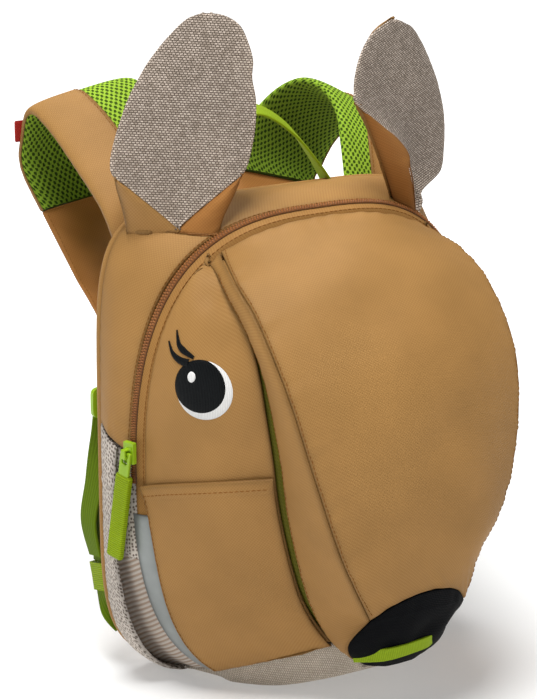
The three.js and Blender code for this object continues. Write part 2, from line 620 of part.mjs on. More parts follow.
// The caramel corners folded over the ear's root: a V from rim to rim, below the front.
function earFold(depth, set) {
  return gridOf((u, v) => {
    const t = lerp(-1, 1, v);
    const rise = Math.abs(t);
    const edge = readRow(EAR_ROWS, lerp(EAR.faceStart, EAR.foldEnd, rise));
    const rim = readRow(EAR_ROWS, EAR.foldEnd * Math.max(2 * rise - 1, 0));
    const innerX = (edge.face + GAP) * Math.min(rise * EAR_GRID.foldRows / 2, 1);
    const outerX = rim.back * Math.min(2 * rise, 1);
    const x = Math.sign(t) * lerp(innerX, outerX, u);
    const along = lerp(edge.along - EAR.tipGap, rim.along, u);
    return earPoint(x, along, depth, set);
  }, EAR_GRID.foldColumns, EAR_GRID.foldRows);
}

// The green webbing across the nose, with its ends at the nose's side seams.
function addNoseLoop() {
  const last = NOSE_LOOP_ROWS.length - 1;
  const centre = (v) => {
    const row = readRow(NOSE_LOOP_ROWS, v * last);
    return point(row.x, -row.front, row.z);
  };
  const down = () => point(0, Math.sqrt(1 - NOSE_LOOP.drop ** 2), -NOSE_LOOP.drop);
  const { half, thickness, rows } = NOSE_LOOP;
  addPiece('nose_loop', ribbon(centre, down, half, thickness, rows), GREEN_WEBBING);
}

// A box by its lowest and highest corners.
function boxBetween(low, high) {
  const size = high.map((value, i) => value - low[i]);
  const middle = high.map((value, i) => (value + low[i]) / 2);
  return new THREE.BoxGeometry(...size).translate(...middle);
}

// A closed body as a solid that can be joined to others or cut by them.
function solidOf(geometry) {
  const bare = geometry.clone();
  bare.deleteAttribute('normal');
  bare.deleteAttribute('uv');
  const merged = mergeVertices(bare);
  const vertProperties = new Float32Array(merged.attributes.position.array);
  const triVerts = new Uint32Array(merged.index.array);
  return new wasm.Manifold(new wasm.Mesh({ numProp: 3, vertProperties, triVerts }));
}

function geometryOf(solid) {
  const mesh = solid.getMesh();
  const geometry = new THREE.BufferGeometry();
  geometry.setAttribute('position', new THREE.BufferAttribute(mesh.vertProperties, mesh.numProp));
  geometry.setIndex(new THREE.BufferAttribute(mesh.triVerts, 1));
  geometry.computeVertexNormals();
  return geometry;
}

// An outline with a square hole in it, extruded to a plate centred on its own plane.
function framePlate(outline, holes, depth) {
  const shape = new THREE.Shape(outline.map(([x, y]) => new THREE.Vector2(x, y)));
  for (const hole of holes) shape.holes.push(new THREE.Path(hole.map(([x, y]) => new THREE.Vector2(x, y))));
  const plate = new THREE.ExtrudeGeometry(shape, { depth, bevelEnabled: false });
  return plate.translate(0, 0, -depth / 2).rotateX(Math.PI / 2);
}

const rectangle = (left, bottom, right, top) => [[left, bottom], [right, bottom], [right, top], [left, top]];

// The slider on the coil, with a bridge that holds the link's upper bar. Outwards is -X in its group.
function sliderBody() {
  const eye = PULL.bar / 2 + PULL.play;
  const outer = eye + BRIDGE.bar;
  const sunk = SLIDER.height / 2;
  const arch = rectangle(-outer, -outer, eye + sunk, outer);
  const bridge = framePlate(arch, [rectangle(-eye, -eye, eye, eye)], BRIDGE.width);
  const half = SLIDER.width / 2;
  const reach = SLIDER.length / 2;
  const block = boxBetween([eye, -half, -reach], [eye + SLIDER.height, half, reach]);
  return geometryOf(solidOf(bridge).add(solidOf(block)));
}

// The link hangs from its upper bar, which turns in the slider's bridge.
function pullLink() {
  const half = PULL.width / 2;
  const top = PULL.bar / 2;
  const outline = rectangle(-half, top - PULL.length, half, top);
  const slot = rectangle(-half + PULL.rail, -top - PULL.slot, half - PULL.rail, -top);
  return framePlate(outline, [slot], PULL.thickness).rotateZ(Math.PI / 2);
}

// A folded webbing tab, sewn on both sides of the link's lower end.
function pullTab() {
  const half = TAB.thickness / 2;
  const mouth = TAB.mouth / 2;
  const outline = [[-half, -TAB.length], [half, -TAB.length], [half, 0], [mouth, 0], [mouth, -TAB.grip],
    [-mouth, -TAB.grip], [-mouth, 0], [-half, 0]];
  return framePlate(outline, [], TAB.width);
}

function addZipPull() {
  const eye = PULL.bar / 2 + PULL.play;
  const onCoil = ZIP.coil + GAP * 2 + SLIDER.height + eye;
  const turn = degToRad(SLIDER.turn);
  const slider = new THREE.Group();
  slider.position.copy(outlinePoint(FRONT_OUTLINE, SLIDER.degrees));
  slider.position.add(point(-Math.cos(turn), -Math.sin(turn), 0).multiplyScalar(onCoil));
  slider.rotation.z = turn;
  backpack.add(slider);
  const pull = new THREE.Group();
  pull.rotation.x = degToRad(PULL.tilt);
  slider.add(pull);
  addPiece('zip_slider', sliderBody(), GREEN_MOULDED, slider);
  addPiece('zip_pull', pullLink(), GREEN_MOULDED, pull);
  const tab = addPiece('zip_tab', pullTab(), GREEN_WEBBING, pull);
  tab.position.z = PULL.bar / 2 - PULL.length + TAB.grip - GAP;
}

backpack.name = 'kids_backpack';
addBackPanel();
addWalls();
addBase();
addZip();
addFaces();
addSnout();
addLining();
addEars();
addStraps();
addNoseLoop();
addZipPull();

export default backpack;
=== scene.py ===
# %% [markdown]
# # A small backpack in the form of an animal's head
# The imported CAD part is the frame: it says where every piece is, in one shared set of axes.
# This lesson dresses it in cloth. Each soft CAD solid is replaced by a surface worked out with numpy
# from the same formulas, dense enough to carry seams, puckers and folds, and each finish is made of nodes.

# %% The frame and its box
import math

import bpy
import numpy as np
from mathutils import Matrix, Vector


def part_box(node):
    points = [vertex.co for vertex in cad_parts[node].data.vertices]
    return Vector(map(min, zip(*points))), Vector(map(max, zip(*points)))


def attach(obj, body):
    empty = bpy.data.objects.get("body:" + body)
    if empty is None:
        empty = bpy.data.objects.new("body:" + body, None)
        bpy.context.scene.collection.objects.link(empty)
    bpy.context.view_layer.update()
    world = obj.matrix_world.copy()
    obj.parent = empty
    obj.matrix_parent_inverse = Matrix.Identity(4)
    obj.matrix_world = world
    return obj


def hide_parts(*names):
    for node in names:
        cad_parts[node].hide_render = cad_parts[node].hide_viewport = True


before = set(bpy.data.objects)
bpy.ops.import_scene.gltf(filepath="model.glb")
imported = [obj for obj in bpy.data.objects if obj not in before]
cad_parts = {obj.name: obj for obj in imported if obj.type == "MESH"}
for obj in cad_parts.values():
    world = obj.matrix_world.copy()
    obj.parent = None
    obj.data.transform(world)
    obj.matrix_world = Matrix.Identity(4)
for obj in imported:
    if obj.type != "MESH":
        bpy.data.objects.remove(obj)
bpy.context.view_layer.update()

MM = 0.001

# %% [markdown]
# ## Camera and lamps
# A product picture is taken from a long way off with a long lens, so that the snout doesn't swell.
# The light is soft: one large lamp high above the front, a weak one low at the left and one behind, which catches
# the tops. The floor and the backdrop come last.

# %% Camera and lamps
def aim_at(thing, place, aim):
    """Stands a thing at a place, in metres, with its own -Z axis pointing at aim."""
    thing.location = place
    thing.rotation_euler = (Vector(aim) - Vector(place)).to_track_quat("-Z", "Y").to_euler()
    bpy.context.scene.collection.objects.link(thing)


CAMERA_PLACE, CAMERA_AIM, LENS_MM = (-0.7332, -1.1213, 0.5669), (-0.020, 0.020, 0.181), 131.1
camera = bpy.data.objects.new("camera", bpy.data.cameras.new("camera"))
camera.data.lens = LENS_MM
camera.data.clip_end = 40
aim_at(camera, CAMERA_PLACE, CAMERA_AIM)
bpy.context.scene.camera = camera
bpy.context.scene.view_settings.view_transform = "Standard"

# Each lamp's place and width in metres, and its power in watts.
LAMPS = {"key": ((-0.5, -0.35, 2.4), 1.0, 60), "fill": ((-1.9, -1.2, 0.9), 1.4, 3),
         "rim": ((0.3, 1.0, 1.9), 0.9, 15)}
LAMP_AIM = (0, 0, 0.15)
for lamp_name, (place, width, watts) in LAMPS.items():
    lamp = bpy.data.lights.new(lamp_name, "AREA")
    lamp.size, lamp.energy = width, watts
    aim_at(bpy.data.objects.new(lamp_name, lamp), place, LAMP_AIM)
print("lens, mm:", LENS_MM, "and lamps:", list(LAMPS))

# %% [markdown]
# ## Materials: shared steps
# A finish starts from what the real one is. Colours are written as they look on a screen (sRGB hex) and turned
# to the linear values that a shader works in. Every pattern reads the piece's own map, which holds real metres
# along the cloth, so threads keep their size and follow the surface.

# %% Colours, nodes and a bare material
def linear(hex_colour):
    """sRGB hex to linear: below 0.04045 a twelfth, above it the 2.4th power of (c + 0.055) / 1.055."""
    c = np.array([int(hex_colour[i:i + 2], 16) for i in (1, 3, 5)]) / 255
    return (*np.where(c <= 0.04045, c / 12.92, ((c + 0.055) / 1.055) ** 2.4), 1.0)


def add_node(tree, kind, sockets=(), **settings):
    """Adds one node: settings are its properties, and sockets pairs a socket with a value or a link's start."""
    made = tree.nodes.new(kind)
    for key, value in settings.items():
        setattr(made, key, value)
    for key, value in dict(sockets).items():
        if isinstance(value, bpy.types.NodeSocket):
            tree.links.new(value, made.inputs[key])
        else:
            made.inputs[key].default_value = value
    return made


def bare(name, roughness, sheen=0.0, metallic=0.0, sheen_colour="#ffffff", gloss=0.2):
    """A material with one Principled shader, whose plain numbers are set on its own sockets. Dyed fibres and
    moulded plastics all have an IOR of about 1.5."""
    material = bpy.data.materials.new(name)
    material.use_nodes = True
    shader = material.node_tree.nodes["Principled BSDF"]
    values = {"Roughness": roughness, "Sheen Weight": sheen, "Sheen Roughness": 0.5, "IOR": 1.5,
              "Metallic": metallic, "Sheen Tint": linear(sheen_colour), "Specular IOR Level": gloss}
    for socket, value in values.items():
        shader.inputs[socket].default_value = value
    return material, material.node_tree, shader


# Noise cells per metre: dyed patches about 30 mm wide, lumps of 6 mm, wandering threads of 4 mm, and a moulded drift
# of 11 mm.
PATCHES, LUMPS, WANDER, DRIFT = 34, 160, 260, 90


def shade_and_bump(tree, shader, colour, height, relief_mm, seam_dark=0.62):
    """Finishes a surface: colour times a slow patchy tone times the seam's factor, seam_dark, which on most finishes
    is a painted shade, and the pattern's height plus a quarter of a slow unevenness as relief. A piece holds its
    nearness to a seam in the attribute seam, 1 in it."""
    place = add_node(tree, "ShaderNodeTexCoord")
    patches = add_node(tree, "ShaderNodeTexNoise", {"Vector": place.outputs["Object"], "Scale": PATCHES, "Detail": 4})
    slow = add_node(tree, "ShaderNodeMapRange", {0: patches.outputs[0], 1: 0.3, 2: 0.7, 3: 0.93, 4: 1.07})
    seam = add_node(tree, "ShaderNodeAttribute", attribute_name="seam")
    shade = add_node(tree, "ShaderNodeMapRange", {0: seam.outputs["Fac"], 1: 0, 2: 1, 3: 1, 4: seam_dark})
    both = add_node(tree, "ShaderNodeMath", {0: slow.outputs[0], 1: shade.outputs[0]}, operation="MULTIPLY")
    tinted = add_node(tree, "ShaderNodeVectorMath", {0: colour, "Scale": both.outputs[0]}, operation="SCALE")
    tree.links.new(tinted.outputs[0], shader.inputs["Base Color"])
    lumps = add_node(tree, "ShaderNodeTexNoise", {"Vector": place.outputs["Object"], "Scale": LUMPS, "Detail": 3})
    relief = add_node(tree, "ShaderNodeMath", {0: lumps.outputs[0], 1: 0.25, 2: height}, operation="MULTIPLY_ADD")
    bump = add_node(tree, "ShaderNodeBump", {"Height": relief.outputs[0], "Distance": relief_mm * MM, "Strength": 1})
    tree.links.new(bump.outputs[0], shader.inputs["Normal"])


def lattice(tree, across_mm, along_mm, wander_mm=0.0):
    """sin(pi u / across) times sin(pi v / along): plus and minus in a checkerboard, as threads pass over and under.
    Where wander isn't 0, a slow noise moves the threads sideways by up to half of it."""
    flat = add_node(tree, "ShaderNodeUVMap", uv_map="cloth").outputs[0]
    if wander_mm:
        drift = add_node(tree, "ShaderNodeTexNoise", {"Vector": flat, "Scale": WANDER, "Detail": 1})
        reach = (2 * wander_mm * MM, 2 * wander_mm * MM, 0)
        flat = add_node(tree, "ShaderNodeVectorMath", {0: drift.outputs["Color"], 1: reach, 2: flat},
                        operation="MULTIPLY_ADD").outputs[0]
    scale = (math.pi / (across_mm * MM), math.pi / (along_mm * MM), 0)
    laid = add_node(tree, "ShaderNodeMapping", {"Vector": flat, "Scale": scale})
    waves = add_node(tree, "ShaderNodeVectorMath", {0: laid.outputs[0]}, operation="SINE")
    axes = add_node(tree, "ShaderNodeSeparateXYZ", {0: waves.outputs[0]})
    return add_node(tree, "ShaderNodeMath", {0: axes.outputs[0], 1: axes.outputs[1]}, operation="MULTIPLY").outputs[0]


print("canvas brown as linear light:", np.round(linear("#a67d48"), 3))

# %% [markdown]
# ## Woven, knitted and netted cloth
# The body is a dyed polyester canvas in plain weave: matt, with a faint fuzz that lightens its edges.
# Ears and base are a coarser cloth whose light weft lies in short staggered floats on a dark warp.
# The side pockets are knitted net, and the straps' inside is spacer net with open holes.

# %% Canvas and basket cloth
def plain_weave(name, warp, weft, thread_mm, relief_mm, roughness=0.85, sheen=0.06, gloss=0.2):
    """Plain weave: warp shows where the lattice is above 0 and weft below it; each float is a small hump."""
    material, tree, shader = bare(name, roughness, sheen, sheen_colour=warp, gloss=gloss)
    over = lattice(tree, thread_mm, thread_mm)
    share = add_node(tree, "ShaderNodeMapRange", {0: over, 1: -0.4, 2: 0.4, 3: 0, 4: 1})
    threads = add_node(tree, "ShaderNodeMix", {0: share.outputs[0], 6: linear(weft), 7: linear(warp)},
                       data_type="RGBA")
    hump = add_node(tree, "ShaderNodeMath", {0: over}, operation="ABSOLUTE")
    shade_and_bump(tree, shader, threads.outputs[2], hump.outputs[0], relief_mm)
    return material


def float_weave(name, warp, weft, dull, float_mm, row_mm, relief_mm, edge, roughness=0.85):
    """Short floats in rows, from light to dull by chance, each row shifted by half, with the dark warp between. At a
    seam the colour is multiplied by edge: more than 1 where the cloth is rolled over and its thread ends show, and
    less than 1 for a painted shade."""
    material, tree, shader = bare(name, roughness, 0.05)
    flat = add_node(tree, "ShaderNodeUVMap", uv_map="cloth")
    laid = add_node(tree, "ShaderNodeMapping", {"Vector": flat.outputs[0], "Scale": (1000, 1000, 1000)})
    sizes = {"Vector": laid.outputs[0], "Scale": 1, "Brick Width": float_mm, "Row Height": row_mm,
             "Mortar Size": 0.3 * row_mm, "Mortar Smooth": 0.9, "Color1": linear(weft), "Color2": linear(dull),
             "Mortar": linear(warp)}
    floats = add_node(tree, "ShaderNodeTexBrick", sizes)
    hump = add_node(tree, "ShaderNodeMath", {0: 1.0, 1: floats.outputs["Fac"]}, operation="SUBTRACT")
    shade_and_bump(tree, shader, floats.outputs["Color"], hump.outputs[0], relief_mm, seam_dark=edge)
    return material


# Real canvas threads are about 0.5 mm apart, too fine for this picture: they are drawn 0.9 mm apart. The numbers are
# the thread's pitch and its relief in mm, then roughness and sheen. Canvas is matt, with a faint broad gloss; the
# brown one is the same canvas made softer, redder and darker, and its darkness is painted shade on the strap tails
# and the ears' inner corners. The nose's canvas is coarse and swallows light. Taffeta is thin and gleams a little.
CANVAS = plain_weave("polyester canvas, caramel", "#a67d48", "#9c7340", 0.9, 0.06, 0.55, 0.03, gloss=0.14)
SHADE_PAINTED_CANVAS = plain_weave("polyester canvas, painted shade", "#9d6a34", "#93612e", 0.9, 0.04, 0.7)
NOSE_CANVAS = plain_weave("polyester canvas, black", "#08090d", "#040506", 1.2, 0.16, 0.65, 0.0, gloss=0.05)
LINING = plain_weave("polyester taffeta lining, olive", "#8c8726", "#7b761e", 0.9, 0.06, 0.6, 0.1)
# Tape and ribbon are close, smooth narrow weaves. Basket weave is coarse, and its pale floats stand out from the
# warp.
ZIP_TAPE = plain_weave("woven zip tape, caramel", "#a3773f", "#936936", 0.8, 0.08, 0.7, 0.05)
BASKET = float_weave("basket weave polyester, taupe", "#574b41", "#c6b7a9", "#9d8f81", 2.0, 1.25, 0.25, edge=1.3)
BASE_BASKET = float_weave("basket weave polyester, pale taupe", "#988b7c", "#d9cdbd", "#c6b9a8", 1.9, 1.2, 0.2,
                          edge=0.7)
RED_RIBBON = plain_weave("woven ribbon, red", "#a3271f", "#8e1f1b", 0.8, 0.08, 0.7, 0.2)
WOVEN = (CANVAS, SHADE_PAINTED_CANVAS, NOSE_CANVAS, LINING, ZIP_TAPE, BASKET, BASE_BASKET, RED_RIBBON)
print("woven:", [material.name for material in WOVEN])


# %% Nets: holes in a staggered lattice, or spread unevenly
def net(name, yarn, hole, across_mm, along_mm, relief_mm, open_from, roughness=0.8, sheen=0.08):
    """Net: the lattice's plus cells are holes, so holes lie in staggered rows; yarn humps up between them. Where the
    attribute seam is 1, on a strap's under side, it is less than half as light: painted shade."""
    material, tree, shader = bare(name, roughness, sheen, sheen_colour=yarn, gloss=0.1)
    over = lattice(tree, across_mm, along_mm, 0.5)
    share = add_node(tree, "ShaderNodeMapRange", {0: over, 1: open_from, 2: open_from + 0.4, 3: 0, 4: 1})
    look = add_node(tree, "ShaderNodeMix", {0: share.outputs[0], 6: linear(yarn), 7: linear(hole)},
                    data_type="RGBA")
    deep = add_node(tree, "ShaderNodeMath", {0: 1.0, 1: share.outputs[0]}, operation="SUBTRACT")
    shade_and_bump(tree, shader, look.outputs[2], deep.outputs[0], relief_mm, seam_dark=0.45)
    return material


def knitted(name, yarn, hole, cell_mm, relief_mm, roughness=0.85, sheen=0.05):
    """Knit: small holes around uneven points, one to a cell; the yarn rises with the distance from the nearest."""
    material, tree, shader = bare(name, roughness, sheen, sheen_colour=yarn, gloss=0.1)
    flat = add_node(tree, "ShaderNodeUVMap", uv_map="cloth")
    cells = add_node(tree, "ShaderNodeTexVoronoi", {"Vector": flat.outputs[0], "Scale": 1 / (cell_mm * MM),
                                                    "Randomness": 0.6}, voronoi_dimensions="2D")
    share = add_node(tree, "ShaderNodeMapRange", {0: cells.outputs["Distance"], 1: 0.18, 2: 0.42, 3: 1, 4: 0})
    look = add_node(tree, "ShaderNodeMix", {0: share.outputs[0], 6: linear(yarn), 7: linear(hole)},
                    data_type="RGBA")
    shade_and_bump(tree, shader, look.outputs[2], cells.outputs["Distance"], relief_mm)
    return material


# Both nets are matt and open: dark holes under a pale yarn, in even rows on the straps and scattered on the pockets.
SPACER = net("spacer net, green", "#94b836", "#3d5713", 1.6, 2.3, 0.9, 0.04)
KNIT = knitted("knitted net, taupe grey", "#cfc5bb", "#6a5e54", 2.3, 0.5)
print("nets:", SPACER.name, "and", KNIT.name)


# %% [markdown]
# ## Ribs, webbing, thread and moulded parts
# Webbing is woven in ribs, along its length or across it. Embroidery is satin stitch: threads side by side, with a
# soft gloss. The zip's coil is drawn nylon. The slider and buckles are moulded acetal, smooth and slightly waxy, and
# the reflective strip is a tape coated with fine glass beads, which gives it a grey, half metallic look.

# %% Ribbed, coated and moulded finishes
def ribbed(name, high, low, rib_mm, relief_mm, roughness, sheen, along=False, fine_mm=0.9):
    """Ribs: a sine across the map (or along it), with finer threads square to it, light on the humps."""
    material, tree, shader = bare(name, roughness, sheen, sheen_colour=high, gloss=0.1)
    flat = add_node(tree, "ShaderNodeUVMap", uv_map="cloth")
    ribs, fine = 2 * math.pi / (rib_mm * MM), 2 * math.pi / (fine_mm * MM)
    scale = (fine, ribs, 0) if along else (ribs, fine, 0)
    laid = add_node(tree, "ShaderNodeMapping", {"Vector": flat.outputs[0], "Scale": scale})
    waves = add_node(tree, "ShaderNodeVectorMath", {0: laid.outputs[0]}, operation="SINE")
    axes = add_node(tree, "ShaderNodeSeparateXYZ", {0: waves.outputs[0]})
    rib, thread = (axes.outputs[1], axes.outputs[0]) if along else (axes.outputs[0], axes.outputs[1])
    share = add_node(tree, "ShaderNodeMapRange", {0: rib, 1: -0.8, 2: 0.5, 3: 0, 4: 1})
    look = add_node(tree, "ShaderNodeMix", {0: share.outputs[0], 6: linear(low), 7: linear(high)},
                    data_type="RGBA")
    height = add_node(tree, "ShaderNodeMath", {0: thread, 1: 0.25, 2: rib}, operation="MULTIPLY_ADD")
    shade_and_bump(tree, shader, look.outputs[2], height.outputs[0], relief_mm)
    return material


def moulded(name, colour, dark, roughness, grain_mm, relief_mm, metallic=0.0, gloss=0.4, edge=0.62):
    """A moulded or coated surface: one colour that drifts slightly, under a fine grain. Where the attribute seam is
    1, the colour is multiplied by edge, which paints shade there."""
    material, tree, shader = bare(name, roughness, metallic=metallic, gloss=gloss)
    place = add_node(tree, "ShaderNodeTexCoord")
    drift = add_node(tree, "ShaderNodeTexNoise", {"Vector": place.outputs["Object"], "Scale": DRIFT, "Detail": 2})
    look = add_node(tree, "ShaderNodeMix", {0: drift.outputs[0], 6: linear(dark), 7: linear(colour)},
                    data_type="RGBA")
    grain = add_node(tree, "ShaderNodeTexNoise", {"Vector": place.outputs["Object"], "Scale": 1000 / grain_mm})
    shade_and_bump(tree, shader, look.outputs[2], grain.outputs[0], relief_mm, seam_dark=edge)
    return material


# The numbers are the rib's pitch and its relief in mm, then roughness and sheen. Polypropylene is flatly bright,
# rubber smoother, and satin stitch and thread shine along their strands.
WEBBING = ribbed("polypropylene webbing, green", "#627b10", "#586f0c", 1.8, 0.05, 0.65, 0.02)
LOOP_WEBBING = ribbed("polypropylene webbing, pale green", "#93ad20", "#819a18", 1.0, 0.06, 0.65, 0.04, along=True)
TAB_RUBBER = ribbed("moulded rubber, green", "#90a814", "#7a910c", 1.2, 0.12, 0.55, 0.0, along=True)
SIDE_RIBS = ribbed("ribbed knit, taupe", "#bfb5ab", "#a08c7b", 3.0, 0.2, 0.85, 0.05, along=True)
SATIN_BLACK = ribbed("satin stitch, black", "#131618", "#08090a", 0.9, 0.12, 0.5, 0.0)
SATIN_WHITE = ribbed("satin stitch, white", "#e8e7e5", "#d6d5d3", 0.9, 0.05, 0.5, 0.0)
THREAD = ribbed("sewing thread, brown", "#8d5a27", "#6e4519", 0.8, 0.1, 0.7, 0.05)
# The numbers are roughness, and the grain's size and relief in mm.
COIL = moulded("nylon coil, brown", "#b0743f", "#95592b", 0.5, 0.8, 0.03, gloss=0.2, edge=0.1)
ACETAL = moulded("moulded acetal, green", "#9cc21d", "#86aa16", 0.35, 0.5, 0.02)
REFLECTIVE = moulded("reflective tape, silver", "#969a99", "#7d817f", 0.38, 0.6, 0.03, metallic=0.35)
print("others:", [m.name for m in (WEBBING, TAB_RUBBER, SIDE_RIBS, SATIN_BLACK, THREAD, COIL, ACETAL, REFLECTIVE)])

# %% [markdown]
# ## From a formula to a piece
# Every piece is a grid: a function of two numbers, worked out for all of them at once. A sewn panel is then
# rolled down into its seams, puckered beside them and given slow folds. Solidify gives the cloth its thickness.

# %% Reading tables and grids
def rows_at(table, place):
    """Reads a table between its rows on the smooth curve through four neighbours; place 2.5 is halfway from row 2
    to row 3. Gives the columns one by one."""
    table, place = np.asarray(table, float), np.asarray(place, float)
    last = len(table) - 1
    at = np.clip(np.floor(place).astype(int), 0, last - 1)
    t = (place - at)[..., None]
    a, b, c, d = (table[np.clip(at + k, 0, last)] for k in (-1, 0, 1, 2))
    leaving, arriving = (c - a) / 2, (d - b) / 2
    bend, twist = 3 * (c - b) - 2 * leaving - arriving, 2 * (b - c) + leaving + arriving
    return np.moveaxis(b + t * (leaving + t * (bend + t * twist)), -1, 0)


def xyz(x, y, z):
    """Points from three arrays of one shape, or of shapes that stretch to one."""
    return np.stack(np.broadcast_arrays(x, y, z), -1).astype(float)


def unit(v):
    """Each vector divided by its own length."""
    return v / np.maximum(np.linalg.norm(v, axis=-1, keepdims=True), 1e-12)


def mix(a, b, t):
    """a at t = 0, b at t = 1, and straight between them."""
    return a + (b - a) * t


def smooth(t):
    """0 at t = 0 and 1 at t = 1, with a soft start and end: 3 t^2 - 2 t^3."""
    return t * t * (3 - 2 * t)


def bell(value, middle, reach):
    """A bell curve: 1 at the middle, and 1 / e at reach from it."""
    return np.exp(-((value - middle) / reach) ** 2)


def crowded(count, crowd=0.75):
    """count values from 0 to 1, closer together at both ends: t less a share of a full sine wave."""
    t = np.linspace(0, 1, count)
    return t - crowd * np.sin(2 * np.pi * t) / (2 * np.pi)


def uv_grid(rows, columns, crowd=0.75):
    """Two arrays, u along each row and v from row to row, both from 0 to 1."""
    v, u = np.meshgrid(crowded(rows, crowd), crowded(columns, crowd), indexing="ij")
    return u, v


def lengths(grid, axis):
    """Distance run along a grid's rows (axis 1) or columns (axis 0): the sum of the steps so far."""
    steps = np.linalg.norm(np.diff(grid, axis=axis), axis=-1)
    first = np.zeros_like(np.take(steps, [0], axis))
    return np.concatenate([first, np.cumsum(steps, axis)], axis)


# The point that all panels face away from, in mm.
CENTRE = np.array([0.0, -20.0, 128.0])


def facing(grid, away_from=CENTRE):
    """Directions square to a grid: the cross product of its two slopes, turned away from a point."""
    out = unit(np.cross(np.gradient(grid, axis=1), np.gradient(grid, axis=0)))
    return out * np.sign(np.mean(np.sum(out * unit(grid - away_from), -1)))


print("the bag's middle, mm:", CENTRE)


# %% What sewing does to a panel
def waves(s, pitch, seed):
    """An uneven ripple along a seam: three sines whose pitches don't fit each other, from -1 to 1."""
    shift = np.random.default_rng(seed).uniform(0, 2 * np.pi, 3)
    parts = [np.sin(2 * np.pi * s / (pitch * k) + p) for k, p in zip((1, 1.63, 0.71), shift)]
    return sum(parts) / 3


def slow_folds(grid, seed, longest=95, shortest=38):
    """Broad soft unevenness: seven plane waves through space with random directions, from -1 to 1."""
    chance = np.random.default_rng(seed)
    pitch = np.geomspace(shortest, longest, 7)
    ways = unit(chance.normal(size=(7, 3))) * 2 * np.pi / pitch[:, None]
    return np.sin(grid @ ways.T + chance.uniform(0, 2 * np.pi, 7)) @ (pitch / pitch.sum())


def sewn(grid, roll=1.8, pucker=0.3, pitch=9.0, folds=0.8, seed=1, sides="uUvV", away_from=CENTRE, dents=()):
    """A panel as sewn. At each sewn side (u, U, v and V are the first and last column and row) the cloth turns
    down on a quarter circle of radius roll, and ripples that fade over 7 mm run beside the seam. Each dent is a
    place, a reach and a depth: a bell curve of the distance, pressed in."""
    out = facing(grid, away_from)
    along, down = lengths(grid, 1), lengths(grid, 0)
    far = {"u": along, "U": along[:, -1:] - along, "v": down, "V": down[-1:] - down}
    lift = folds * slow_folds(grid, seed)
    for x, y, z, reach, depth in dents:
        lift = lift - depth * np.exp(-np.sum((grid - (x, y, z)) ** 2, -1) / reach ** 2)
    for side in sides:
        d = far[side]
        lift = lift * (1 - np.exp(-d / 9)) - roll * (1 - np.sqrt(1 - np.clip(1 - d / roll, 0, 1) ** 2))
        ripple = waves(down if side in "uU" else along, pitch, seed + ord(side))
        lift = lift + pucker * ripple * np.exp(-d / 7) * (1 - np.exp(-d / 1.5))
    # The second result is 1 in a seam and fades within about 2 mm: most finishes paint shade there.
    nearest = np.min([far[side] for side in sides], 0) if sides else np.full(grid.shape[:2], 99.0)
    return grid + out * lift[..., None], np.exp(-(nearest / 2.2) ** 1.5)


print("a ripple 0, 3 and 6 mm along a seam:", np.round(waves(np.array([0, 3, 6]), 9.0, 1), 2))


# %% A grid becomes a piece
GRIDS = {}


def quads_of(rows, columns, wrap):
    """Corner numbers of every square of a grid; wrap joins the last column to the first."""
    index = np.arange(rows * columns).reshape(rows, columns)
    if wrap:
        index = np.concatenate([index, index[:, :1]], 1)
    return np.stack([index[:-1, :-1], index[:-1, 1:], index[1:, 1:], index[1:, :-1]], -1).reshape(-1, 4)


def put(name, mesh, material, nodes, body="bag"):
    """Makes the object, gives it its finish, and has it ride on a body in place of CAD nodes."""
    piece = bpy.data.objects.new(name, mesh)
    bpy.context.scene.collection.objects.link(piece)
    mesh.materials.append(material)
    mesh.polygons.foreach_set("use_smooth", np.ones(len(mesh.polygons), bool))
    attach(piece, body)
    if nodes:
        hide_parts(*nodes)
    return piece


def grid_mesh(name, grid, wrap=False, caps=False, flat=None, seam=None, away_from=CENTRE):
    """A mesh of a grid in millimetres. Its map "cloth" holds metres along the cloth, from the run of its rows and
    columns or from flat. Faces are turned outwards; caps close the ends of a tube."""
    rows, columns = grid.shape[:2]
    quads = quads_of(rows, columns, wrap)
    loop = np.concatenate([grid, grid[:, :1]], 1) if wrap else grid
    corners = quads_of(*loop.shape[:2], False)
    if flat is None:
        across, down = lengths(loop, 1), lengths(loop, 0)
        flat = np.stack([across - across[:, [across.shape[1] // 2]], down], -1)
    p = grid.reshape(-1, 3)
    square = np.cross(p[quads[:, 1]] - p[quads[:, 0]], p[quads[:, 3]] - p[quads[:, 0]])
    hub = away_from
    if wrap:
        ring = grid.mean(1, keepdims=True)
        hub = np.broadcast_to(mix(ring[:-1], ring[1:], 0.5), (rows - 1, columns, 3)).reshape(-1, 3)
    inwards = np.sum(square * (p[quads].mean(1) - hub)) < 0
    if inwards:
        quads, corners = quads[:, ::-1], corners[:, ::-1]
    faces = quads.tolist()
    if caps:
        first, last = list(range(columns)), list(range((rows - 1) * columns, rows * columns))
        faces += [first[::-1], last] if inwards else [first, last[::-1]]
    mesh = bpy.data.meshes.new(name)
    mesh.from_pydata((p * MM).tolist(), [], faces)
    uv = np.zeros((len(mesh.loops), 2), np.float32)
    uv[:corners.size] = flat.reshape(-1, 2)[corners.ravel()] * MM
    mesh.uv_layers.new(name="cloth").data.foreach_set("uv", uv.ravel())
    if seam is not None:
        mesh.attributes.new("seam", "FLOAT", "POINT").data.foreach_set("value", seam.ravel().astype(np.float32))
    mesh.update()
    return mesh


def put_grid(name, grid, material, slot, nodes, body="bag", **mesh_settings):
    """A grid as a piece, with no thickness of its own."""
    return put(name, grid_mesh(name, grid, **mesh_settings), material, nodes, body)


def put_tube(name, grid, material, slot, nodes, body="bag", seam=None):
    """A grid whose rows are closed rings as a piece, closed at both ends."""
    return put_grid(name, grid, material, slot, nodes, body, wrap=True, caps=True, seam=seam)


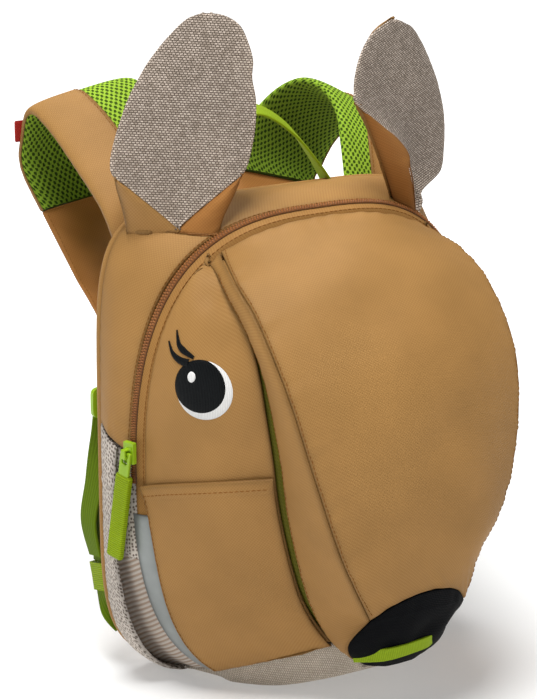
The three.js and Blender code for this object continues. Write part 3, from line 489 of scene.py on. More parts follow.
def settle(grid):
    """A filled bag isn't quite even: its right side gives way, in front by up to 2.5 mm near the top and 8 mm low
    down, and by up to 9 mm at the top corner behind the zip. The snout is pinched above the nose by up to 8.5 mm, and
    the nose's own side by up to 6.5 mm. Each is a bell curve of the height."""
    x, y, z = np.moveaxis(grid, -1, 0)
    right, nose_side = np.clip((x - 15) / 55, 0, 1), np.clip((x - 20) / 14, 0, 1)
    front, rear, snout_front = (np.clip(t, 0, 1) for t in ((30 - y) / 45, (y - 4) / 16, (-50 - y) / 30))
    give = (2.5 * front + 9 * smooth(rear)) * bell(z, 238, 26) + 8 * front * bell(z, 90, 32)
    give = give + 8.5 * snout_front * bell(z, 86, 16)
    return grid - xyz(smooth(right) * give + smooth(nose_side) * 6.5 * snout_front * bell(z, 47, 9), 0, 0)


def panel(name, grid, material, slot, nodes, thickness=2.0, flat=None, away_from=CENTRE, shade=0.0, **sewing):
    """A sewn panel: the grid as sewn, with its thickness inwards. Its final grid is kept for what sits on it.
    shade is painted shade: it darkens the colour where the panel lies deep, as at a seam."""
    grid, seam = sewn(grid, away_from=away_from, **sewing)
    seam = np.maximum(seam, shade)
    grid = settle(grid) if away_from is CENTRE else grid
    GRIDS[name] = grid
    piece = put_grid(name, grid, material, slot, nodes, flat=flat, seam=seam, away_from=away_from)
    wall = piece.modifiers.new("cloth thickness", "SOLIDIFY")
    wall.thickness, wall.offset = thickness * MM, -1
    return piece


print("squares of a grid of 3 by 4 points:", len(quads_of(3, 4, False)), "and of a tube:", len(quads_of(3, 4, True)))


# %% Stitches
def beside(grid, side, inset, away_from=CENTRE):
    """The line that runs inset mm inside one side of a grid, and the directions square to the cloth there."""
    out = facing(grid, away_from)
    turn = {"u": lambda g: g, "U": lambda g: g[:, ::-1], "v": lambda g: g.swapaxes(0, 1),
            "V": lambda g: g[::-1].swapaxes(0, 1)}[side]
    grid, out = turn(grid), turn(out)
    run = lengths(grid, 1)
    past = np.clip((run < inset).sum(1), 1, run.shape[1] - 1)
    i = np.arange(len(run))
    share = ((inset - run[i, past - 1]) / (run[i, past] - run[i, past - 1]))[:, None]
    return mix(grid[i, past - 1], grid[i, past], share), unit(mix(out[i, past - 1], out[i, past], share))


STITCH_PITCH, STITCH_LENGTH, THREAD_THICK = 3.0, 2.3, 0.5
BEAD_RINGS, RING_POINTS = 5, 6


def stitches(name, line, out, first=0.0, last=1.0):
    """A row of stitches: beads of thread, each a tube that rises from the cloth and dips back into it, from the share
    first of the line to the share last. All beads are worked out together and are one mesh."""
    run = lengths(line[None], 1)[0]
    count = max(int(run[-1] * (last - first) / STITCH_PITCH), 1)
    start = run[-1] * first + (np.arange(count) + 0.5) * STITCH_PITCH
    t = np.linspace(-0.5, 0.5, BEAD_RINGS)
    s = start[:, None] + t * STITCH_LENGTH
    read = lambda values: np.stack([np.interp(s, run, values[:, k]) for k in range(3)], -1)
    middle, up = read(line), unit(read(out))
    side = unit(np.cross(up, np.gradient(middle, axis=1)))
    radius = THREAD_THICK / 2 * np.sqrt(1 - 3.4 * t ** 2)
    a = np.linspace(0, 2 * np.pi, RING_POINTS, endpoint=False)
    lift = (radius * 0.3)[None, :, None, None]
    ring = np.cos(a)[None, None, :, None] * side[:, :, None] + np.sin(a)[None, None, :, None] * up[:, :, None]
    points = middle[:, :, None] + lift * up[:, :, None] + radius[None, :, None, None] * ring
    size = BEAD_RINGS * RING_POINTS
    bead = np.arange(count)[:, None] * size
    quads = quads_of(BEAD_RINGS, RING_POINTS, True)[None] + bead[..., None]
    root, tip = bead + np.arange(RING_POINTS), bead + np.arange(size - 1, size - 1 - RING_POINTS, -1)
    mesh = bpy.data.meshes.new(name)
    mesh.from_pydata((points.reshape(-1, 3) * MM).tolist(), [],
                     quads.reshape(-1, 4).tolist() + root.tolist() + tip.tolist())
    mesh.uv_layers.new(name="cloth").data.foreach_set("uv", np.zeros(2 * len(mesh.loops), np.float32))
    put(name, mesh, THREAD, [])


def stitch_along(name, panel_name, side, inset, away_from=CENTRE, **stretch):
    """A row of stitches that runs inset mm inside one side of a finished panel."""
    stitches(name, *beside(GRIDS[panel_name], side, inset, away_from), **stretch)


print("stitches, mm:", STITCH_LENGTH, "long and", STITCH_PITCH, "apart")

# %% [markdown]
# ## The bag's outline and its walls
# Two rounded outlines carry the whole bag: one at the zip and a squarer one at the back. Each is read by the angle
# from the top, positive towards +X. The wall is drawn straight between them and swells a little in the middle.

# %% Outlines, zip line and wall
ZIP_OUTLINE = dict(y=0, setback=11, half=110, up=135, down=134, up_power=2.8, down_power=2.8)
BACK_OUTLINE = dict(y=45, setback=0, half=112, up=138, down=128, up_power=6, down_power=5)
SIDES = {"left": -1, "right": 1}
WALL_EDGE = -3.6  # where the wall ends beside the zip line, in mm


def outline(shape, degrees):
    """A superellipse: |sin / half|^p + |cos / height|^p, to the power -1/p, is the reach at each angle."""
    s, c = np.sin(np.radians(degrees)), np.cos(np.radians(degrees))
    height = np.where(c > 0, shape["up"], shape["down"])
    power = np.where(c > 0, shape["up_power"], shape["down_power"])
    reach = (np.abs(s / shape["half"]) ** power + np.abs(c / height) ** power) ** (-1 / power)
    return xyz(reach * s, shape["y"] + shape["setback"] * s * s, CENTRE[2] + reach * c)


def radial(degrees):
    """Straight out from the bag's middle, in the plane of X and Z."""
    return xyz(np.sin(np.radians(degrees)), 0, np.cos(np.radians(degrees)))


def beside_zip(degrees, across):
    """Points beside the zip line: across mm towards the face if positive, and towards the back if negative."""
    line = outline(ZIP_OUTLINE, degrees)
    to_back = unit(outline(BACK_OUTLINE, degrees) - line)
    to_face = unit(np.array([0, -1, 0]) - 0.47 * radial(degrees))
    across = np.asarray(across, float)[..., None]
    return line + np.where(across > 0, to_face, to_back) * np.abs(across)


def wall(degrees, v):
    """The wall between the back panel, at v = 0, and the zip, at v = 1, with a swell of 4 mm."""
    at = mix(outline(BACK_OUTLINE, degrees), beside_zip(degrees, np.full_like(degrees, WALL_EDGE)), v[..., None])
    return at + radial(degrees) * (4 * np.sin(np.pi * v))[..., None]


def gusset_end(u):
    """The angle at which the gusset ends, from the back to the zip."""
    return mix(79.5, 85, u)


def cut_back(degrees):
    """How far the face's outer edge lies inside the zip line: 6.3 mm, and up to 5.5 mm more along the cheek."""
    return 6.3 + 5.5 * np.sin(np.pi * np.clip((np.abs(degrees) - 94) / 56, 0, 1) ** 0.75)


print("top of the zip line, mm:", np.round(outline(ZIP_OUTLINE, np.array(0.0)), 1))

# %% Gusset and side walls
u, v = uv_grid(190, 44)
panel("gusset_canvas", wall(mix(-gusset_end(u), gusset_end(u), v), u), CANVAS, "caramel", ["gusset"],
      pucker=0.5, folds=1.2, seed=3)


def side_wall(sign, u, v):
    """The wall below the gusset, from its top edge at v = 0 to the base at v = 1."""
    return wall(sign * mix(gusset_end(u) + 0.5, mix(147, 150, u), v), u)


RIB_SLANT = 0.6
for side, sign in SIDES.items():
    u, v = uv_grid(90, 40)
    pocket = side_wall(sign, u * 0.7, v)
    # The pocket stands out by up to 5 mm towards the ribs, and bags by 4 mm more low down.
    swell = 5 * u ** 2.5 * np.sin(np.pi * v) ** 0.7 + 4 * u * np.sin(np.pi * v ** 3.5)
    pocket = pocket + facing(pocket) * swell[..., None]
    panel(f"side_pocket_{side}_knit", pocket, KNIT, "knit", [f"side_pocket_{side}"], pucker=0.6, folds=1.4, seed=5)
    for part, material, low, high, sides in (("net", KNIT, 0, 0.46, "uUv"), ("rib", SIDE_RIBS, 0.455, 1, "uUV")):
        u, v = uv_grid(90, 24, 0.3)
        # deep is the fold under the pocket's edge: the ribs sink there by up to 1.6 mm and have its shade painted in.
        deep = bell(u, 0.36, 0.2)
        ribs = side_wall(sign, mix(0.45, 1.1, u), mix(low, high, v))
        across, down = lengths(ribs, 1), lengths(ribs, 0)
        panel(f"side_{part}_{side}_knit", ribs - facing(ribs) * (1.6 * deep)[..., None], material, "taupe",
              [f"side_rib_{side}"], flat=np.stack([across, down + RIB_SLANT * across], -1), pucker=0.2, folds=0.4,
              seed=5, sides=sides, shade=0.8 * deep)
    u, v = uv_grid(80, 14)
    degrees = mix(102, 150, v)
    strip = beside_zip(sign * degrees, mix(-3.1, cut_back(degrees) - 0.4, u))
    panel(f"reflective_{side}_tape", strip, REFLECTIVE, "reflective", [f"reflective_{side}"], 1.4, roll=0.7,
          pucker=0.15, folds=0.1, seed=7)
print("walls:", len(GRIDS), "panels")

# %% [markdown]
# ## Base
# The base is flat where the bag stands and turns up at its edges to meet the sides, the cheeks and the nose.

# %% Base panel
BASE_ROWS = [(-44.6, 79.1, 4.5, 0), (-24, 75.3, 3.2, 0), (-7, 68.7, 7, 0), (3, 66.6, 9.8, 0), (28, 49, 21.6, 4),
             (57, 28, 35.5, 16), (74, 21.5, 29.6, 26)]


def base(u, v):
    """A row gives its place in front, half its width, and the height of its edge and of its middle. Across by half
    the width at each row; the outer sixth rises to the edge on a smooth step."""
    q = mix(-1, 1, u)
    front, half, edge, middle = rows_at(BASE_ROWS, v * (len(BASE_ROWS) - 1))
    t = np.clip((np.abs(q) - 0.84) / 0.16, 0, 1)
    return xyz(half * q, -front, mix(np.maximum(middle, 0), edge, smooth(t)))


u, v = uv_grid(90, 90, 0.4)
panel("base_weave", base(u, v), BASE_BASKET, "taupe", ["base_panel"], roll=1.4, pucker=0.25, folds=0, seed=9)
print("base: lowest point, mm", round(GRIDS["base_weave"][..., 2].min(), 2))

# %% [markdown]
# ## Zip
# A coil zip: two rows of nylon loops that mesh in the middle, sewn on a woven tape. The coil is one surface whose
# height rises and falls with each loop, with the two rows half a loop apart, which is lighter than hundreds of loops.

# %% Tape and coil
LOOPS = 270
u, v = uv_grid(260, 34, 0)
across = mix(-5.5, 9.0, u)
degrees = mix(-103, 103, v)
tape = beside_zip(degrees, across)
# Both long edges of the tape sink under the cloth beside it, and so do its ends.
under = 2.6 * np.clip((across - 5.6) / 1.2, 0, 1) + 2.6 * np.clip((-across - 3.0) / 0.8, 0, 1)
under = np.maximum(under, 1.6 * np.clip((np.abs(degrees) - 91) / 2, 0, 1))
panel("zip_tape_weave", tape + unit(CENTRE - tape) * under[..., None], ZIP_TAPE, "caramel", ["zip_tape"], 1.0,
      pucker=0, folds=0, sides="", seed=11)


def coil(loops, steps=6, across=15):
    """The coil's upper side: across from -1 to 1, each half a hump of sin(pi |a|), times a loop wave along it that
    is half a loop later on the other half. Also its shade, dark where it is low."""
    v, a = np.meshgrid(np.linspace(0, 1, loops * steps + 1), np.linspace(-1, 1, across), indexing="ij")
    at = beside_zip(mix(-93, 93, v), a * 1.8 - 0.4)
    hump = np.sin(np.pi * np.clip(np.abs(a) * 0.94 + 0.06, 0, 1)) ** 0.7
    loop = 0.5 + 0.5 * np.cos(2 * np.pi * (v * loops + 0.5 * (a > 0)))
    rise = hump * (0.35 + 0.65 * loop)
    return at + unit(at - CENTRE) * (0.15 + 1.65 * rise)[..., None], 1 - rise


coil_grid, coil_shade = coil(LOOPS)
put_grid("zip_coil_loops", settle(coil_grid), COIL, "zip", ["zip_coil"], seam=coil_shade)
stitch_along("zip_welt_stitches", "zip_tape_weave", "U", 5.6, first=0.015, last=0.985)
stitch_along("gusset_zip_stitches", "gusset_canvas", "U", 2.4)
print("zip:", LOOPS, "loops")

# %% [markdown]
# ## Face and cheeks
# The face is stretched between the zip and the slit behind the snout and swells between them. The cheek is a slip
# pocket: the same surface lifted off the face, with a doubled hem along its open top.

# %% Face and cheek panels
SLIT_ROWS = [(72, 3.4, 241), (75, 22, 229), (75, 40, 214), (73, 54, 194), (68, 60, 153), (62, 60, 114), (47, 57, 66),
             (29, 58, 37), (24, 73, 32)]
FACE_FOOT = 7  # the slit's row at the face's lower end


def slit(sign, place):
    """The slit's edge on the face, read from its table."""
    half, front, z = rows_at(SLIT_ROWS, place)
    return xyz(sign * half, -front, z)


def face(sign, u, v, tuck=0.0):
    """From the zip to the slit, swollen by 8 mm times sin(pi u) and the root of sin(pi v). Past the slit's edge it
    goes on for tuck mm, sinking, under the snout's band."""
    degrees = mix(34, 150, v)
    start, end = beside_zip(sign * degrees, cut_back(degrees)), slit(sign, FACE_FOOT * v)
    width = np.linalg.norm(end - start, axis=-1)
    u = u * (1 + tuck / width)
    at = mix(start, end, u[..., None])
    swell = 8 * np.sin(np.pi * np.minimum(u, 1)) * np.sqrt(np.clip(np.sin(np.pi * v), 0, 1))
    return at + unit(at - CENTRE) * (swell - 0.45 * np.maximum(u - 1, 0) * width)[..., None]


def cheek(sign, u, v):
    """The lower part of the face, below the slanting hem, lifted 2.5 mm."""
    at = face(sign, u, mix(mix(0.51, 0.627, u), 1, v))
    return at + unit(at - CENTRE) * 2.5


for side, sign in SIDES.items():
    u, v = uv_grid(120, 70)
    v = mix(-0.03, 1, v)
    tuck = 9 * np.exp(-(np.abs(v) / 0.33) ** 3)
    panel(f"face_{side}_canvas", face(sign, u, v, tuck), CANVAS, "caramel", [f"face_{side}"], roll=1.8, pucker=0.5,
          folds=1.3, seed=21, dents=[(sign * 79, -19, 228, 9, 3.2), (sign * 76, -44, 205, 11, 1.6),
                                     (sign * 70, -52, 150, 16, 1.5)])
    u, v = uv_grid(90, 70)
    pocket = cheek(sign, u, v)
    # The doubled hem is 0.7 mm thicker and ends 7.4 mm below its edge in a soft step.
    hem = 0.7 * (1 - 1 / (1 + np.exp(-(lengths(pocket, 0) - 7.4) / 0.35)))
    pocket = pocket + facing(pocket) * hem[..., None]
    panel(f"cheek_{side}_canvas", pocket, CANVAS, "caramel", [f"cheek_{side}"], 1.6, roll=1.3, pucker=0.4,
          folds=1.0, seed=23)
    stitch_along(f"hem_{side}_stitches", f"cheek_{side}_canvas", "v", 6.4, first=0.02, last=0.98)
    stitch_along(f"cheek_{side}_stitches", f"cheek_{side}_canvas", "u", 2.2, first=0.04)
print("face: swells to y", round(GRIDS["face_left_canvas"][..., 1].min(), 1), "mm")

# %% [markdown]
# ## Snout, nose and the pocket behind
# The snout is a full, rounded pocket that stands off the face. Its top runs from the zip to the nose with its
# crown on a high power, so that it is broad and turns quickly at the seams. Side bands close it towards the slit.

# %% Snout, nose and lining
SNOUT_ROWS = [(65, 3.8, 247.4, 6.1, 260.1), (74, 33, 238, 38, 252), (75.5, 58, 222, 68, 236), (73, 83, 188, 98, 196),
              (65, 96, 146, 111, 149.5), (52, 102, 102, 114, 102.5), (31, 98, 63, 106, 66), (36, 86, 48, 100, 51),
              (31.5, 79.5, 37, 90.5, 36), (20.5, 77, 29, 79.5, 25.5)]
# The rows where the nose and the side bands' lower ends are, and how far a panel reaches towards its seams.
NOSE_ROW, SIDE_FOOT, TO_SEAM = 6, 8.6, 0.994


def snout_row(place):
    """The snout's table, read in two stretches so that it turns sharply at the nose's upper edge."""
    above = rows_at(SNOUT_ROWS[:NOSE_ROW + 1], np.minimum(place, NOSE_ROW))
    below = rows_at(SNOUT_ROWS[NOSE_ROW:], np.maximum(place - NOSE_ROW, 0))
    return np.where(place < NOSE_ROW, above, below)


def snout(q, place):
    """Across from seam to seam with q from -1 to 1; the crown is 1 - |q|^2.3 of the way to the middle line."""
    half, front, z, mid_front, mid_z = snout_row(place)
    crown = 1 - np.abs(q) ** 2.3
    return xyz(half * q, -mix(front, mid_front, crown), mix(z, mid_z, crown))


def nose_line(q):
    """The nose's upper edge, which arches up in the middle."""
    return NOSE_ROW - 0.4 * (1 - q * q)


def snout_side(sign, u, v):
    """The band from the seam at u = 0 to the slit's open edge at u = 1, bowed outwards by up to 2 mm."""
    place = SIDE_FOOT * v
    slit_place = np.minimum(place, NOSE_ROW) + np.maximum(place - NOSE_ROW, 0) * 0.667
    half, front, z = snout_row(place)[:3]
    seam, edge = xyz(sign * half, -front, z), slit(sign, slit_place)
    width = np.linalg.norm(edge - seam, axis=-1)
    swing = np.sin(np.pi * np.minimum(slit_place / FACE_FOOT, 1))
    share = mix(0.8 / width, 1 - (0.8 + 5.2 * swing) / width, u)
    at = mix(seam, edge, share[..., None])
    return at + xyz(sign * 2 * np.sin(np.pi * u) * swing, 0, 0)


u, v = uv_grid(150, 110)
q = mix(-TO_SEAM, TO_SEAM, u)
panel("snout_top_canvas", snout(q, v * nose_line(q)), CANVAS, "caramel", ["snout_top"], roll=2.0, pucker=0.9,
      pitch=14, folds=1.6, seed=31,
      dents=[(-40, -80, 215, 30, 1.2), (50, -95, 150, 26, 1.6), (10, -108, 80, 24, 1.2)])
u, v = uv_grid(60, 80)
q = mix(-TO_SEAM, TO_SEAM, u)
panel("nose_canvas", snout(q, mix(nose_line(q) - 0.02, 9, v)), NOSE_CANVAS, "black", ["nose"], roll=1.5, pucker=0.5,
      pitch=13, folds=0.8, seed=33, dents=[(6, -101, 50, 9, 3.0), (-16, -96, 46, 7, 1.8), (24, -88, 46, 7, 1.6)])
for side, sign in SIDES.items():
    u, v = uv_grid(150, 30)
    panel(f"snout_side_{side}_canvas", snout_side(sign, u, v), CANVAS, "caramel", [f"snout_side_{side}"],
          roll=1.4, pucker=0.45, folds=0.9, seed=35)
    # A strip of cloth inside the seam, so that no light shows between the two panels.
    v = np.linspace(0.03, 0.66, 120)
    q, place = sign * np.full_like(v, 0.94), SIDE_FOOT * v
    strip = np.stack([snout(q, place), snout(q / 0.94, place), snout_side(sign, np.full_like(v, 0.2), v)], 1)
    panel(f"snout_{side}_seam_allowance", strip - unit(strip - CENTRE) * 1.7, CANVAS, "caramel", [], 0.6, sides="",
          folds=0)
    stitch_along(f"slit_{side}_stitches", f"snout_side_{side}_canvas", "U", 2.6, first=0.05, last=0.9)
    stitch_along(f"snout_{side}_stitches", "snout_top_canvas", "u" if sign < 0 else "U", 2.6, first=0.01, last=0.99)


def pocket_back(u, v):
    """The pocket's back wall, 3 mm behind the slit's edge, arched up at its top and down at its foot. What is in the
    bag swells it forward by up to 13 mm in the middle."""
    q, t = mix(-1, 1, u), 1 - 2 * v
    half, front, z = rows_at(SLIT_ROWS, mix(0.5, FACE_FOOT, v))
    arch = np.where(t > 0, 12 * np.abs(t) ** 2, -17 * np.abs(t) ** 4)
    swell = 13 * (1 - q * q) * np.sqrt(np.clip(np.sin(np.pi * v), 0, 1))
    return xyz((half - 1.6) * q, 3 - front - swell, z + arch * (1 - q * q))


u, v = uv_grid(60, 60, 0)
panel("pocket_lining", pocket_back(u, v), LINING, "lining", ["snout_lining"], 1.4, roll=0.4, folds=0.8, seed=37)
print("snout: foremost point, y", round(GRIDS["snout_top_canvas"][..., 1].min(), 1), "mm")

# %% [markdown]
# ## Eyes
# Each eye is embroidered: a black disc on a white one that shows as a crescent, a white highlight and two lashes.
# A flat drawing in millimetres is carried onto the face: each of its points is found on the face's grid by
# stepping along the grid's own slopes, and then lifted by the height of the thread.

# %% Carrying a flat drawing onto a panel
def read_grid(grid, r, c):
    """Points of a grid between its rows and columns, on the straight blend of the four corners around each."""
    i = np.clip(np.floor(r).astype(int), 0, grid.shape[0] - 2)
    j = np.clip(np.floor(c).astype(int), 0, grid.shape[1] - 2)
    s, t = (r - i)[..., None], (c - j)[..., None]
    return mix(mix(grid[i, j], grid[i, j + 1], t), mix(grid[i + 1, j], grid[i + 1, j + 1], t), s)


def onto(grid, centre, right, up, flat, lift):
    """Lays flat points, in mm right and up of a centre, on a grid: eight corrections of row and column, each of
    which solves the two slopes of the grid for what is still missing."""
    out = facing(grid)
    start = np.argmin(np.sum((grid - centre) ** 2, -1))
    r = np.full(flat.shape[:-1], float(start // grid.shape[1]))
    c = np.full(flat.shape[:-1], float(start % grid.shape[1]))
    slope_r, slope_c = np.gradient(grid, axis=0), np.gradient(grid, axis=1)
    for _ in range(8):
        miss = flat - np.stack([(read_grid(grid, r, c) - centre) @ right, (read_grid(grid, r, c) - centre) @ up], -1)
        dr, dc = read_grid(slope_r, r, c), read_grid(slope_c, r, c)
        a, b, d, e = dr @ right, dc @ right, dr @ up, dc @ up
        det = a * e - b * d
        r = np.clip(r + (e * miss[..., 0] - b * miss[..., 1]) / det, 0, grid.shape[0] - 1)
        c = np.clip(c + (a * miss[..., 1] - d * miss[..., 0]) / det, 0, grid.shape[1] - 1)
    return read_grid(grid, r, c) + unit(read_grid(out, r, c)) * np.asarray(lift)[..., None]


def disc(half_wide, half_tall, x=0.0, y=0.0, rings=26, spokes=72):
    """A flat oval: rings of radius share 0 to 1 times the half sizes, closed around; also the share itself."""
    share, a = np.meshgrid(np.linspace(0.001, 1, rings), np.linspace(0, 2 * np.pi, spokes), indexing="ij")
    return np.stack([x + half_wide * share * np.cos(a), y + half_tall * share * np.sin(a)], -1), share


def lash(points, half, root, steps=40):
    """A tapering stroke along a smooth curve: half wide near its root and nothing at its tip. It starts with the
    share root of its width and is full after a third of its length."""
    t = np.linspace(0, 1, steps)
    line = np.moveaxis(rows_at(points, t * (len(points) - 1)), 0, -1)
    ahead = unit(np.gradient(line, axis=0))
    side = np.stack([-ahead[:, 1], ahead[:, 0]], -1)
    w = np.linspace(-1, 1, 9)
    wide = half * (1 - t ** 1.5) * mix(root, 1, np.minimum(3 * t, 1)) + 0.15
    return line[:, None] + side[:, None] * (w[None] * wide[:, None])[..., None], np.abs(w)[None] + 0 * t[:, None]


print("points of an oval, rings by spokes:", disc(1, 1)[1].shape)

# %% Embroidered eyes
EYE = np.array([-92.7, -29.9, 184.2])
# Half sizes and place of each oval in mm, its thread, and how high it is filled.
EYE_DISCS = {"white": ((16.8, 15.5, 2.6, -1.9), SATIN_WHITE, 0.7), "black": ((16, 14.5, 0.9, -0.7), SATIN_BLACK, 1.2),
             "highlight": ((2.8, 3.3, -4.2, 4.2), SATIN_WHITE, 1.7)}
# How much of its width a lash starts with, and its points from root to tip.
LASH_HALF = 2.1
LASHES = {"upper": (0.3, [(-4.6, 14.1), (-10.3, 16.4), (-14.2, 19), (-15.9, 22.8), (-17.1, 27.1)]),
          "lower": (1.0, [(-7.4, 10.8), (-12.5, 11.5), (-16.6, 13.5), (-19.1, 16.1), (-21.4, 20.7)])}
for side, sign in SIDES.items():
    grid = GRIDS[f"face_{side}_canvas"]
    spot = EYE * (-sign, 1, 1)
    near = np.unravel_index(np.argmin(np.sum((grid - spot) ** 2, -1)), grid.shape[:2])
    centre, out = grid[near], facing(grid)[near]
    up = unit(np.array([0, 0, 1.0]) - out * out[2])
    right = np.cross(up, out) * -sign
    for part, (sizes, material, height) in EYE_DISCS.items():
        flat, share = disc(*sizes)
        laid = onto(grid, centre, right, up, flat, height * (1 - share ** 8) + 0.1)
        put_grid(f"eye_{part}_{side}", laid, material, "black", [], flat=flat)
    for part, (root, points) in LASHES.items():
        flat, share = lash(points, LASH_HALF, root)
        laid = onto(grid, centre, right, up, flat, 0.9 * (1 - share ** 4) + 0.1)
        put_grid(f"lash_{part}_{side}", laid, SATIN_BLACK, "black", [], flat=flat)
print("eyes: centre on the left face, mm", np.round(centre * (-1, 1, 1), 1))

# %% [markdown]
# ## Ears
# An ear is a petal, laid flat between two tables of its edges, cupped, bowed and then stood on the wall. Its front is
# the coarse taupe cloth, its back and the corners that fold forward at the root are canvas. Two layers with a thin
# foam between them make it a padded piece.

# %% Ear tables
# Root in mm, three angles in degrees, the tip's sideways bow in mm, a scale of the height, and how far the back's
# edges lie inside the front's in mm.
EARS = {"left": dict(place=(-75.5, 18, 256.5), turn=-28, lean=3.5, back=10, bow=10, size=1.0, inset=0.0),
        "right": dict(place=(76, 19, 256), turn=23, lean=-14, back=0, bow=6, size=0.9, inset=2.0)}
# From root to tip: x, height and reach forward of the front's left edge, and the same for its right edge.
EAR_FRONT = {
    "left": [(-2.1, 0, 1, -2.1, 0, 1), (-11.4, 7, 2, 6.5, 8.3, 2), (-20.3, 13.5, 3, 15, 16.1, 3),
             (-29.7, 20.4, 3.5, 23.4, 23.9, 3.4), (-38.6, 26.8, 3.4, 31.1, 31.7, 3.2),
             (-40.4, 34.6, 3.1, 33.6, 43.4, 2.8), (-39.4, 45.2, 2.7, 34.1, 56.6, 2.2),
             (-37.5, 55.8, 2.3, 32.5, 69.8, 1.7), (-35.3, 66.5, 1.9, 28.7, 81.2, 1.3),
             (-31.6, 77.7, 1.4, 27.5, 90.5, 0.9), (-27.4, 88, 1, 23.2, 99.7, 0.5),
             (-20.6, 99.9, 0.5, 17.2, 108.3, 0.2), (-12.4, 110.3, 0.1, 9, 113, 0), (-3.5, 114.2, 0, -0.5, 114.4, 0)],
    "right": [(-12.2, -4.2, 8.7, -11, -5, 8.7), (-18.3, 21, 13, -3.3, -1, 7.8), (-19.5, 32.2, 12.7, 0, 5, 6.5),
              (-18.3, 40, 11.3, 23.2, 6.3, 4.4), (-23.8, 51.8, 8.7, 30.1, 18, 3.9),
              (-31.9, 62.7, 6.2, 33.4, 28.8, 3.5), (-49.1, 83.9, 2.2, 35.2, 40.2, 3),
              (-48.7, 91, 0.9, 34.3, 53.6, 2.4), (-46.6, 98.6, 0.6, 31.8, 65.8, 1.9),
              (-41.2, 107.3, 0.2, 26.9, 79.5, 1.4), (-33.7, 114, 0, 22.1, 90.6, 0.9),
              (-23.6, 118.1, 0, 14, 103.9, 0.4), (-11.2, 118.3, 0, 4.7, 111.4, 0.1), (-5.5, 117.5, 0, -1, 115.5, 0)],
}
# The back's edges at the root, from the wall to where they meet the front's: a corner is folded forward between them.
EAR_OUTER = {
    "left": {"left": [(-28.3, -5, -10.9), (-30, 4.5, -7), (-32.8, 12.7, -3.5), (-36, 20, -0.5), (-38, 26, 1.6)],
             "right": [(19, -4, 2.8), (21.5, 6.5, 2.8), (25.7, 16.5, 3), (28.6, 24.1, 2.6), (30.6, 31, 1.8)]},
    "right": {"left": [(-18.9, -6, 1), (-24.6, 17.4, 1), (-28.4, 31.9, 1), (-31.7, 42.7, 1), (-35.4, 53.4, 1),
                       (-40, 65.8, 1), (-49.2, 83.7, 1.8)],
              "right": [(-8, -9, 4), (-2, -4, 4), (4, 3, 3), (22.4, 6.3, 3)]},
}
EAR_CORNERS = {"left": ("left", "right"), "right": ("left",)}
EAR_TIP_ROW, EAR_HEIGHT = 13, 113
print("ear rows:", {name: len(rows) for name, rows in EAR_FRONT.items()})


# %% Ear petals
def turned(points, ear):
    """Leans about Y, tips about X and turns about Z, by the ear's own angles, and then moves to its root."""
    lean, tip, turn = (math.radians(ear[k]) for k in ("lean", "back", "turn"))
    about_y = np.array([[math.cos(lean), 0, math.sin(lean)], [0, 1, 0], [-math.sin(lean), 0, math.cos(lean)]])
    about_x = np.array([[1, 0, 0], [0, math.cos(tip), math.sin(tip)], [0, -math.sin(tip), math.cos(tip)]])
    about_z = np.array([[math.cos(turn), -math.sin(turn), 0], [math.sin(turn), math.cos(turn), 0], [0, 0, 1]])
    return points @ (about_z @ about_x @ about_y).T + ear["place"]


def stand_on_wall(points, up, sunk=0.8):
    """Points deeper than sunk mm below the wall's face slide along the ear's own up direction until they are at
    that depth: each of five steps goes as far as the depth still missing, divided by up's part straight outwards."""
    for _ in range(5):
        degrees = np.degrees(np.arctan2(points[..., 0], points[..., 2] - CENTRE[2]))
        back, front = BACK_OUTLINE["y"], beside_zip(degrees, np.full_like(degrees, WALL_EDGE))[..., 1]
        on = wall(degrees, np.clip((back - points[..., 1]) / (back - front), 0, 1))
        reach = np.hypot(on[..., 0], on[..., 2] - CENTRE[2]) - sunk
        now = np.hypot(points[..., 0], points[..., 2] - CENTRE[2])
        outwards = np.maximum(radial(degrees) @ up, 0.4)
        points = points + up * (np.maximum(reach - now, 0) / outwards)[..., None]
    return points


def stood(x, along, forward, ear):
    """Flat points of an ear, bowed sideways with the square of the height, turned and stood on the wall. Also the
    flat points themselves, for the cloth's map."""
    bow = ear["bow"] * np.sign(along) * (along / EAR_HEIGHT) ** 2
    up = turned(np.array([0, 0, 1.0]), ear) - ear["place"]
    points = turned(xyz(x + bow, -forward, along * ear["size"]), ear)
    return stand_on_wall(points, up), np.stack([x, along], -1)


def ear_sheet(left, right, place, u, ear, lift):
    """From a left edge at u = 0 to a right edge at u = 1, each read from its table at place. The rims reach forward
    and the middle is cupped back to the ear's plane; lift moves the sheet forward."""
    (lx, lz, lf), (rx, rz, rf) = rows_at(left, place), rows_at(right, place)
    return stood(mix(lx, rx, u), mix(lz, rz, u), mix(lf, rf, u) * (2 * u - 1) ** 2 + lift, ear)


def edges(name):
    """The edge tables of an ear: front left and right, then back left and right, which join the front's higher up."""
    front = np.array(EAR_FRONT[name], float)
    both = {"left": front[:, :3], "right": front[:, 3:]}
    inset = {"left": (EARS[name]["inset"], 0, 0), "right": (-EARS[name]["inset"], 0, 0)}
    outer = {k: np.concatenate([EAR_OUTER[name][k], both[k][len(EAR_OUTER[name][k]):] + inset[k]]) for k in both}
    return both["left"], both["right"], outer["left"], outer["right"]


